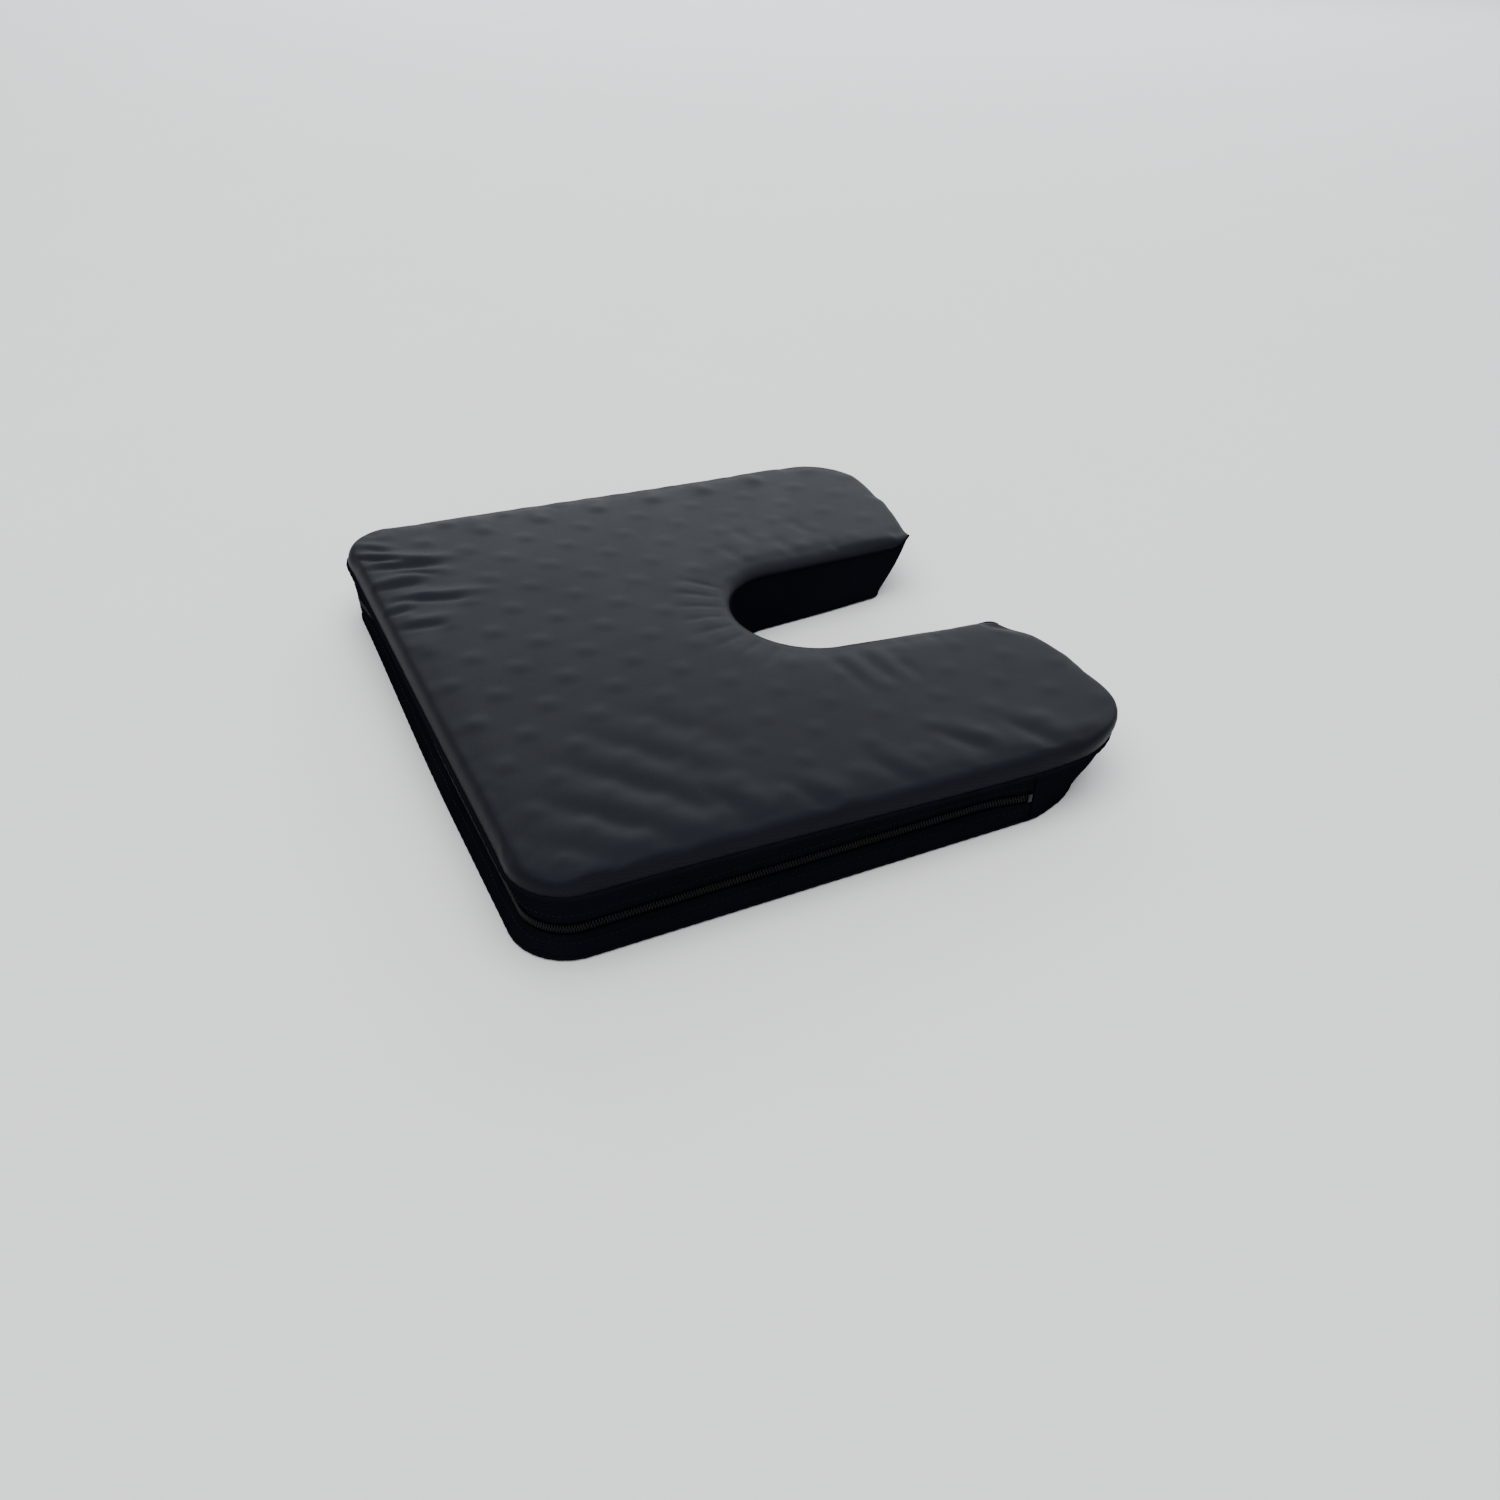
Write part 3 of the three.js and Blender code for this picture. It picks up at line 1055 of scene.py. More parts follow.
@dataclass
class PanelGrid:
    """The rulings that run from the outline to the slot's edge, on which a flat panel is laid.

    Attributes:
        form: the cushion's form.
        arc_rows: rows along the lobe's round corners.
        lobe_rows: rows along the straight of a lobe.
        front_rows: rows from there to the middle of the front.
        split: how far forward of the slot's centre the lobe's rows end on the outline.
        roll_columns: columns on the edge's roll.
        slot_columns: columns on the slot's roll.
        columns: columns in all.
    """

    form: CushionForm
    arc_rows: int = 14
    lobe_rows: int = 56
    front_rows: int = 190
    split: float = 14 * MM
    roll_columns: int = 12
    slot_columns: int = 8
    columns: int = 84

    def __post_init__(self) -> None:
        """Lays out both ends of every ruling."""
        form = self.form
        turn_y = form.slot_centre - self.split
        side = line((-form.half_w, form.half_d - form.rear_r), (-form.half_w, turn_y))
        counts = (self.arc_rows, self.lobe_rows, self.front_rows)
        outer = self.ruled((form.rear_arc(), side, form.front_stretch(turn_y)), counts)
        inner = self.ruled(form.slot_parts(), counts)
        self.outer, self.inner = outer, inner
        self.rows = len(outer) - 1

    @staticmethod
    def ruled(stretches: Sequence[Array], counts: Sequence[int]) -> Array:
        """The rulings' ends along three stretches of the left half, and along the right one."""
        left = [even(route, count + 1)[1:] for route, count in zip(stretches, counts)]
        half = np.vstack([stretches[0][:1], *left])
        return np.vstack([half, mirrored(half)[1:]])

    def plan(self, across: Array, along: Array) -> tuple[Array, Array]:
        """Where shares across and along lie in plan.

        Args:
            across: 0 at the outline, 1 at the slot's edge.
            along: 0 at the left lobe's back, 1 at the right one's.

        Returns:
            The places' X and Y.
        """
        row = nearest(along, self.rows)
        start, end = self.outer[row], self.inner[row]
        run = np.linalg.norm(end - start, axis=1)
        column = across * self.columns
        last = self.columns - self.slot_columns
        roll, slot = self.form.side_roll, self.form.slot_roll
        quarter = math.pi / 2
        from_edge = roll * (1 - np.cos(np.clip(column / self.roll_columns, 0, 1) * quarter))
        to_slot = np.clip((self.columns - column) / self.slot_columns, 0, 1)
        from_slot = run - slot * (1 - np.cos(to_slot * quarter))
        middle = np.clip((column - self.roll_columns) / (last - self.roll_columns), 0, 1)
        between = roll + middle * (run - roll - slot)
        inner = np.where(column > last, from_slot, between)
        reach = np.where(column < self.roll_columns, from_edge, inner)
        spot = start + (end - start) * (reach / run)[:, None]
        return spot[:, 0], spot[:, 1]


@dataclass
class Billow:
    """The way the sewn-down top panel swells over the foam, found by a cloth simulation.

    Attributes:
        form: the cushion's form.
        share: how many of the panel's columns make one of the trial grid's.
        frames: how long the simulation runs.
        pressure: the foam's push.
        slack: how much more cloth there is than the shape needs.
        most: the furthest any point may move.
    """

    form: CushionForm
    share: int = 4
    frames: int = 20
    pressure: float = 4.0
    slack: float = 0.012
    most: float = 1.1 * MM

    def trial(self, grid: PanelGrid) -> bpy.types.Object:
        """The panel to simulate, pinned where it is sewn.

        Args:
            grid: the coarse grid.

        Returns:
            The panel with its cloth modifier.
        """

        def place(across: Array, along: Array) -> Array:
            """Lays the trial panel on the smooth top."""
            x, y = grid.plan(across, along)
            return np.column_stack([x, y, self.form.top_z(x, y)])

        mesh = cloth_grid(grid.columns, grid.rows, place, UP)
        mesh.verts.index_update()
        sewn = [vert.index for vert in mesh.verts if vert.is_boundary]
        piece = shown(mesh, "top_panel_trial", Looks.TOP)
        piece.vertex_groups.new(name="sewn").add(sewn, 1.0, "REPLACE")
        cloth = piece.modifiers.new("billow", "CLOTH")
        settings = cloth.settings
        settings.quality = 5
        settings.mass = 0.15
        settings.tension_stiffness = 15.0
        settings.compression_stiffness = 8.0
        settings.shear_stiffness = 5.0
        settings.bending_stiffness = 0.2
        settings.use_pressure = True
        settings.uniform_pressure_force = self.pressure
        settings.shrink_min = -self.slack
        settings.vertex_group_mass = "sewn"
        settings.effector_weights.gravity = 0.0
        cloth.point_cache.frame_start = 1
        cloth.point_cache.frame_end = self.frames
        return piece

    def moves(self, fine: PanelGrid) -> Array:
        """Runs the simulation and takes its result to the panel's own grid.

        Args:
            fine: the panel's grid.

        Returns:
            How far each point moves, by row, column and axis.
        """
        rows = {key: getattr(fine, key) // 2 for key in ("arc_rows", "lobe_rows", "front_rows")}
        across = ("roll_columns", "slot_columns", "columns")
        columns = {key: getattr(fine, key) // self.share for key in across}
        coarse = PanelGrid(self.form, **rows, **columns)
        piece = self.trial(coarse)
        before = np.array([vert.co[:] for vert in piece.data.vertices])
        for frame in range(1, self.frames + 1):
            bpy.context.scene.frame_set(frame)
        settled = piece.evaluated_get(bpy.context.evaluated_depsgraph_get())
        after = np.array([vert.co[:] for vert in settled.data.vertices])
        bpy.data.objects.remove(piece, do_unlink=True)
        bpy.context.scene.frame_set(1)
        moved = after - before
        far = np.maximum(np.linalg.norm(moved, axis=1), 1e-9)
        log.info("the top panel moved %.2f mm at most", far.max() / MM)
        moved *= (self.most * np.tanh(far / self.most) / far)[:, None]
        by_place = moved.reshape(coarse.rows + 1, coarse.columns + 1, 3)
        return self.spread(by_place, fine.rows + 1, fine.columns + 1)

    @staticmethod
    def spread(coarse: Array, rows: int, columns: int) -> Array:
        """Spreads moves smoothly over a finer grid.

        Args:
            coarse: the moves by row, column and axis.
            rows: the finer grid's rows.
            columns: the finer grid's columns.

        Returns:
            The moves on the finer grid.
        """
        fine = coarse
        for axis, count in ((0, rows), (1, columns)):
            places = np.linspace(0, fine.shape[axis] - 1, count)
            low = np.minimum(places.astype(int), fine.shape[axis] - 2)
            part = np.expand_dims(places - low, (1, 2) if axis == 0 else (0, 2))
            fine = np.take(fine, low, axis) * (1 - part) + np.take(fine, low + 1, axis) * part
        for axis, weights in ((0, (1, 2, 1)), (1, (1, 2, 3, 4, 3, 2, 1))):
            reach = len(weights) // 2
            pads = [(reach, reach) if each == axis else (0, 0) for each in range(3)]
            padded = np.pad(fine, pads, mode="edge")
            span = fine.shape[axis]
            parts = [
                weight * np.take(padded, range(step, step + span), axis)
                for step, weight in enumerate(weights)
            ]
            fine = sum(parts) / sum(weights)
        return fine


@dataclass(frozen=True)
class StripCut:
    """How a strip beside the zip is sewn in.

    Attributes:
        set_in: how far its seam lies inside the outline.
        curve: how late it turns in to the zip: above 1 is later.
        bulge: how far its middle stands out.
        sway: the height of its waves.
        seed: which waves.
    """

    set_in: float
    curve: float
    bulge: float
    sway: float
    seed: int


# The share of a strip's cloth, from its seam, after which it is folded under.
FOLD_SHARE = 0.86
UPPER_CUT = StripCut(0.3 * MM, 0.9, 0.0, 0.35 * MM, 3)
LOWER_CUT = StripCut(0.2 * MM, 1.2, 0.5 * MM, 0.45 * MM, 5)


@dataclass
class Cover:
    """The sewn cover: its panels and strips.

    Attributes:
        form: the cushion's form.
        folds: the top panel's relief.
        cloth: the cloth's thickness.
        base_edge: the height of the base seam.
        waist: how far the sides are pulled in at the zip.
        window: half the gap between the two zip strips.
        wall_step: the distance between a strip's rows of faces.
        tuck: how far under the top seam a strip's edge lies.
        turn_in, turn_past: how far a strip's folded edge turns in, and how far past its height.
        runs: the length of each strip's route, by the piece's name.
    """

    form: CushionForm
    folds: TopFolds
    cloth: float = 0.9 * MM
    base_edge: float = 1.1 * MM
    waist: float = 4.4 * MM
    window: float = 4.3 * MM
    wall_step: float = 1.6 * MM
    tuck: float = 0.7 * MM
    turn_in: float = 0.8 * MM
    turn_past: float = 0.5 * MM
    runs: dict[str, float] = field(default_factory=dict)

    def top_panel(self) -> bpy.types.Object:
        """The crowned top, with the foam's peaks and the sewing's folds in it."""
        grid = PanelGrid(self.form)
        moves = Billow(self.form).moves(grid)

        def place(across: Array, along: Array) -> Array:
            """Lays the panel over the crown."""
            x, y = grid.plan(across, along)
            height = self.form.top_z(x, y) + self.folds.relief(x, y)
            place_moves = moves[nearest(along, grid.rows), nearest(across, grid.columns)]
            points = np.column_stack([x, y, height]) + place_moves
            return self.form.leaned(points)

        mesh = cloth_grid(grid.columns, grid.rows, place, UP)
        return thicken(shown(mesh, "cover_top_panel", Looks.TOP), self.cloth)

    def base_panel(self) -> bpy.types.Object:
        """The flat underside, drawn in a little at its seam."""
        grid = PanelGrid(self.form, 8, 28, 70, roll_columns=8, slot_columns=4, columns=44)

        def place(across: Array, along: Array) -> Array:
            """Lays the panel on the seat, rising to its seams."""
            x, y = grid.plan(across, along)
            edge = np.minimum(self.form.inset(x, y), self.form.slot_gap(x, y))
            height = self.base_edge * (1.0 - ramp(edge, 0.0, 6 * MM))
            return self.form.leaned(np.column_stack([x, y, height]))

        mesh = cloth_grid(grid.columns, grid.rows, place, DOWN)
        return thicken(shown(mesh, "cover_base_panel", Looks.BASE), self.cloth / 2)

    def sway(self, run: Array, share: Array, amount: float, seed: int) -> Array:
        """Slow waves in a strip that stands on edge.

        Args:
            run: distance along the strip.
            share: 0 at one edge and 1 at the other.
            amount: the waves' height.
            seed: which waves.

        Returns:
            How far the strip stands out, nothing at its edges.
        """
        rng = np.random.default_rng(seed)
        waves = sum(
            weight * np.sin(2 * math.pi * run / (pitch * MM) + rng.uniform(0, 6.3) + 2.2 * share)
            for weight, pitch in [(0.45, 61), (0.35, 37), (0.25, 21), (0.15, 12)]
        )
        return amount * waves * np.sin(math.pi * np.clip(share, 0, 1))

    def wall(
        self,
        name: str,
        route: Array,
        rows: int,
        profile: Profile,
        facing: Vector,
        look: Looks = Looks.SIDE,
        cloth: float | None = None,
    ) -> bpy.types.Object:
        """A strip that stands on edge along a route.

        Args:
            name: the piece's name.
            route: where it runs, its face to the right.
            rows: faces from edge to edge.
            profile: gives the offset and the height for X, Y, distance along and share across.
            facing: roughly where its faces look.
            look: its finish.
            cloth: its thickness, the cover's own if left out.

        Returns:
            The strip.
        """
        count = max(8, round(length(route) / self.wall_step))
        spots = even(route, count + 1)
        out = outward(spots)
        step = length(route) / count
        self.runs[name] = length(route)

        def place(across: Array, along: Array) -> Array:
            """Stands the strip up."""
            index = nearest(along, count)
            spot = spots[index]
            offset, height = profile(spot[:, 0], spot[:, 1], index * step, across)
            points = np.column_stack([spot + out[index] * offset[:, None], height])
            return self.form.leaned(points)

        mesh = cloth_grid(rows, count, place, facing)
        return thicken(shown(mesh, name, look), cloth or self.cloth)

    def zip_route(self) -> Array:
        """The outline's stretch that has the zip, from the left side round to the right."""
        outline = self.form.outline()
        return outline[outline[:, 1] <= self.form.zip_end]

    def zip_strip(
        self, x: Array, y: Array, run: Array, share: Array, edges: tuple[Any, float], cut: StripCut
    ) -> tuple[Array, Array]:
        """A strip beside the zip, from its seam at 0 to its folded edge at 1.

        Args:
            x: places across.
            y: places along.
            run: distance along the strip.
            share: 0 at the seam and 1 at the folded edge.
            edges: the height of its seam and of its fold.
            cut: how the strip is sewn in.

        Returns:
            The offset from the outline and the height.
        """
        seam, fold = edges
        part = np.clip(share / FOLD_SHARE, 0.0, 1.0)
        turned = np.clip((share - FOLD_SHARE) / (1.0 - FOLD_SHARE), 0.0, 1.0) * math.pi
        sides = self.form.pull_in(x, y)
        bulge = cut.bulge * np.sin(math.pi * part) * sides
        offset = bulge - cut.set_in - sides * self.waist * part**cut.curve
        offset = offset - self.turn_in * (1 - np.cos(turned))
        offset = offset + self.sway(run, part, cut.sway, cut.seed) * sides
        past = math.copysign(self.turn_past, fold - self.form.zip_z)
        return offset, seam + (fold - seam) * part - past * np.sin(turned)

    def upper_profile(self, x: Array, y: Array, run: Array, share: Array) -> tuple[Array, Array]:
        """The strip above the zip."""
        edges = (self.form.seam_z(y) - self.tuck, self.form.zip_z + self.window)
        return self.zip_strip(x, y, run, share, edges, UPPER_CUT)

    def lower_profile(self, x: Array, y: Array, run: Array, share: Array) -> tuple[Array, Array]:
        """The strip below the zip."""
        edges = (self.base_edge, self.form.zip_z - self.window)
        return self.zip_strip(x, y, run, share, edges, LOWER_CUT)

    def back_profile(self, x: Array, y: Array, run: Array, share: Array) -> tuple[Array, Array]:
        """The full-height strip round a rear corner, from the base seam at 0 to the top at 1."""
        top = self.form.seam_z(y) - self.tuck
        swell = 1.4 * MM * np.sin(math.pi * share) * ramp(y, self.form.zip_end, self.form.half_d)
        offset = swell - 0.2 * MM + self.sway(run, share, 0.6 * MM, 11)
        return offset, self.base_edge + (top - self.base_edge) * share

    def lining_profile(self, x: Array, y: Array, run: Array, share: Array) -> tuple[Array, Array]:
        """The strip that lines the slot, from the base seam at 0 to the top panel at 1."""
        top = self.form.top_z(x, y) - 0.3 * MM
        swell = 1.0 * MM * np.sin(math.pi * share)
        offset = swell + self.sway(run, share, 0.5 * MM, 17)
        return offset, self.base_edge + (top - self.base_edge) * share

    def strips(self) -> dict[str, bpy.types.Object]:
        """Every strip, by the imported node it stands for."""
        outline = self.form.outline()
        route = self.zip_route()
        behind = outline[outline[:, 1] > self.form.zip_end + 0.3 * MM]
        left, right = behind[behind[:, 0] < 0], behind[behind[:, 0] > 0]
        edge = self.form.slot_edge()
        made = {
            "upper_gusset": self.wall("cover_upper_strip", route, 14, self.upper_profile, FORWARD),
            "lower_gusset": self.wall("cover_lower_strip", route, 14, self.lower_profile, FORWARD),
            "slot_gusset": self.wall(
                "cover_slot_lining", edge, 20, self.lining_profile, BACKWARD
            ),
        }
        for side, stretch, sign in (("left", left, -1), ("right", right, 1)):
            made[f"back_gusset_{side}"] = self.wall(
                f"cover_back_strip_{side}", stretch, 16, self.back_profile, Vector((sign, 1, 0))
            )
        return made


# ---------------------------------------------------------------- seams


def tube(
    name: str,
    route: Array,
    radius: Callable[[Array], Array],
    look: Looks,
    sides: int = 8,
) -> bpy.types.Object:
    """A round cord along a route in space, closed at both ends.

    Args:
        name: the piece's name.
        route: its centre line.
        radius: gives the radius for distances along it.
        look: its finish.
        sides: how many sides it has.

    Returns:
        The cord.
    """
    along = np.gradient(route, axis=0)
    along /= np.linalg.norm(along, axis=1)[:, None]
    flat = np.cross(along, (0.0, 0.0, 1.0))
    flat /= np.linalg.norm(flat, axis=1)[:, None]
    upright = np.cross(flat, along)
    thick = radius(travelled(route))

    def place(around: Array, share: Array) -> Array:
        """Lays the cord's skin round its centre line."""
        index = nearest(share, len(route) - 1)
        turn = around * 2 * math.pi
        ring = np.cos(turn)[:, None] * flat[index] + np.sin(turn)[:, None] * upright[index]
        return route[index] + ring * thick[index][:, None]

    mesh = cloth_grid(sides, len(route) - 1, place, None)
    bmesh.ops.remove_doubles(mesh, verts=mesh.verts[:], dist=1e-6)
    bmesh.ops.holes_fill(mesh, edges=mesh.edges[:], sides=sides)
    bmesh.ops.recalc_face_normals(mesh, faces=mesh.faces[:])
    return shown(mesh, name, look)


@dataclass
class Seams:
    """The rolled seams and the rows of stitches.

    Attributes:
        cover: the cover they hold together.
        welt: radius of the top seam's roll.
        fine: radius of the slot's and the base's seam rolls.
        stitch: a stitch's length.
        stitch_pitch: the distance from one stitch to the next.
        thread: the thread's radius.
        row: where on a strip its row of stitches lies, from its seam at 0 to its fold at 1.
        step: the distance between the points of a seam's route.
    """

    cover: Cover
    welt: float = 1.15 * MM
    fine: float = 0.6 * MM
    stitch: float = 2.3 * MM
    stitch_pitch: float = 3.1 * MM
    thread: float = 0.24 * MM
    row: float = 0.62
    step: float = 1.7 * MM

    def lifted(self, route: Array, offset: float, height: Placer) -> Array:
        """A route in space beside a route in plan.

        Args:
            route: the route in plan.
            offset: how far outside it the new one lies.
            height: gives its height for X and Y.

        Returns:
            The route's points.
        """
        spots = even(route, max(8, round(length(route) / self.step)))
        plan = spots + outward(spots) * offset
        points = np.column_stack([plan, height(spots[:, 0], spots[:, 1])])
        return self.cover.form.leaned(points)

    def gathered(self, radius: float, share: float = 0.1) -> Callable[[Array], Array]:
        """A seam roll's radius, drawn in a little at each stitch."""
        return lambda run: radius * (1.0 + share * np.sin(math.pi * run / self.stitch_pitch))

    def rolls(self) -> dict[str, bpy.types.Object]:
        """The seam rolls: round the top, round the slot's rim and round the base."""
        form = self.cover.form
        top = self.lifted(form.outline(), 0.4 * MM, lambda x, y: form.seam_z(y))
        rim = self.lifted(form.slot_edge(), 0.1 * MM, lambda x, y: form.top_z(x, y) - 0.1 * MM)
        low = self.cover.base_edge
        base = self.lifted(form.outline(), -0.1 * MM, lambda x, y: np.full_like(x, low))
        slot = self.lifted(form.slot_edge(), 0.0, lambda x, y: np.full_like(x, low))
        return {
            "top": tube("seam_top_welt", top, self.gathered(self.welt), Looks.SIDE, 10),
            "rim": tube("seam_slot_rim", rim, self.gathered(self.fine), Looks.SIDE),
            "base": tube("seam_base_edge", base, self.gathered(0.8 * MM), Looks.SIDE),
            "slot": tube("seam_slot_base", slot, self.gathered(self.fine), Looks.SIDE),
        }

    def stitches(self, name: str, profile: Profile) -> bpy.types.Object:
        """A row of stitches along one of the zip's strips.

        Args:
            name: the piece's name.
            profile: the strip's profile.

        Returns:
            The row.
        """
        route = self.cover.zip_route()
        count = int(length(route) / self.stitch_pitch)
        spots = even(route, count + 1)
        out = outward(spots)
        run = np.arange(count + 1) * length(route) / count
        offset, height = profile(spots[:, 0], spots[:, 1], run, np.full(count + 1, self.row))
        centres = np.column_stack([spots + out * (offset + 0.35 * self.thread)[:, None], height])
        centres = self.cover.form.leaned(centres)
        size = Matrix.Diagonal((self.stitch / 2, self.thread, self.thread, 1.0))
        mesh = bmesh.new()
        for centre, normal in zip(centres[2:-2], out[2:-2]):
            place = standing(centre, normal) @ size
            bmesh.ops.create_icosphere(mesh, subdivisions=1, radius=1.0, matrix=place)
        bmesh.ops.recalc_face_normals(mesh, faces=mesh.faces[:])
        return shown(mesh, name, Looks.THREAD)


# ---------------------------------------------------------------- foam


@dataclass
class Foam:
    """The two layers inside the cover.

    Attributes:
        form: the cushion's form.
        folds: gives the peaks' lattice.
        room: the space between the cover and the foam.
        web: how thick the egg-crate layer is in its hollows.
    """

    form: CushionForm
    folds: TopFolds
    room: float = 8.2 * MM
    web: float = 6 * MM

    def layer(self, name: str, look: Looks, low: float, high: Placer) -> bpy.types.Object:
        """One closed layer of foam under the outline.

        Args:
            name: the piece's name.
            look: its finish.
            low: the height of its underside.
            high: gives the height of its upper face for X and Y.

        Returns:
            The layer.
        """
        form = self.form
        grid = PanelGrid(form, 8, 34, 90, roll_columns=6, slot_columns=4, columns=56)

        def place(across: Array, along: Array) -> Array:
            """Lays out the layer's upper face inside the cover."""
            x, y = grid.plan(across, along)
            keep = ramp(form.slot_gap(x, y), 0.0, 20 * MM)
            away = self.room * (1.0 - keep)
            in_lobes = y > form.slot_centre
            x = x * (1.0 - keep * self.room / form.half_w) + np.sign(x) * away * in_lobes
            y = y * (1.0 - self.room / form.half_d) - away * ~in_lobes
            return np.column_stack([x, y, high(x, y)])

        mesh = cloth_grid(grid.columns, grid.rows, place, UP)
        for vert in extruded(mesh, mesh.faces[:]):
            vert.co.z = low
        bmesh.ops.recalc_face_normals(mesh, faces=mesh.faces[:])
        for vert in mesh.verts:
            vert.co = form.leaned(np.array([vert.co[:]]))[0]
        return shown(mesh, name, look)

    def slab(self, low: float, high: float) -> bpy.types.Object:
        """The firm lower slab."""

        def upper(x: Array, y: Array) -> Array:
            """A flat face with its edges eased."""
            edge = np.minimum(self.form.inset(x, y), self.form.slot_gap(x, y) + self.room)
            return high - 1.2 * MM * (1.0 - ramp(edge, 0.0, 8 * MM))

        return self.layer("foam_slab", Looks.FIRM_FOAM, low, upper)

    def egg_crate(self, low: float) -> bpy.types.Object:
        """The soft upper layer, peaks up."""

        def upper(x: Array, y: Array) -> Array:
            """Rounded peaks and hollows under the cover's crown."""
            crown = self.form.top_z(x, y) - self.room
            web = low + self.web
            rise = (0.5 + 0.5 * self.folds.wave(x, y)) ** 0.8
            return web + np.maximum(crown - web, 0.0) * rise

        return self.layer("foam_egg_crate", Looks.SOFT_FOAM, low, upper)


# ---------------------------------------------------------------- the zip


def bevelled(
    mesh: bmesh.types.BMesh, edges: list[bmesh.types.BMEdge], width: float, segments: int
) -> None:
    """Rounds edges by a width, with so many facets."""
    bmesh.ops.bevel(
        mesh,
        geom=edges,
        offset=width,
        affect="EDGES",
        segments=segments,
        profile=0.5,
        material=-1,
    )


def eased(mesh: bmesh.types.BMesh, width: float, segments: int = 2) -> None:
    """Rounds every sharp edge of a small metal piece."""
    sharp = [edge for edge in mesh.edges if edge.is_manifold and edge.calc_face_angle() > 0.5]
    bevelled(mesh, sharp, width, segments)


def polygon(mesh: bmesh.types.BMesh, corners: Iterable[Sequence[float]]) -> bmesh.types.BMFace:
    """Adds one flat face with the given corners."""
    verts = [bmesh.ops.create_vert(mesh, co=corner)["vert"][0] for corner in corners]
    return bmesh.ops.contextual_create(mesh, geom=verts)["faces"][0]


def block(mesh: bmesh.types.BMesh, low: Sequence[float], high: Sequence[float]) -> None:
    """Adds a block between two corners, given in millimetres."""
    middle = [(a + b) / 2 * MM for a, b in zip(low, high)]
    size = [(b - a) * MM for a, b in zip(low, high)]
    place = Matrix.Translation(middle) @ Matrix.Diagonal((*size, 1.0))
    bmesh.ops.create_cube(mesh, size=1.0, matrix=place)


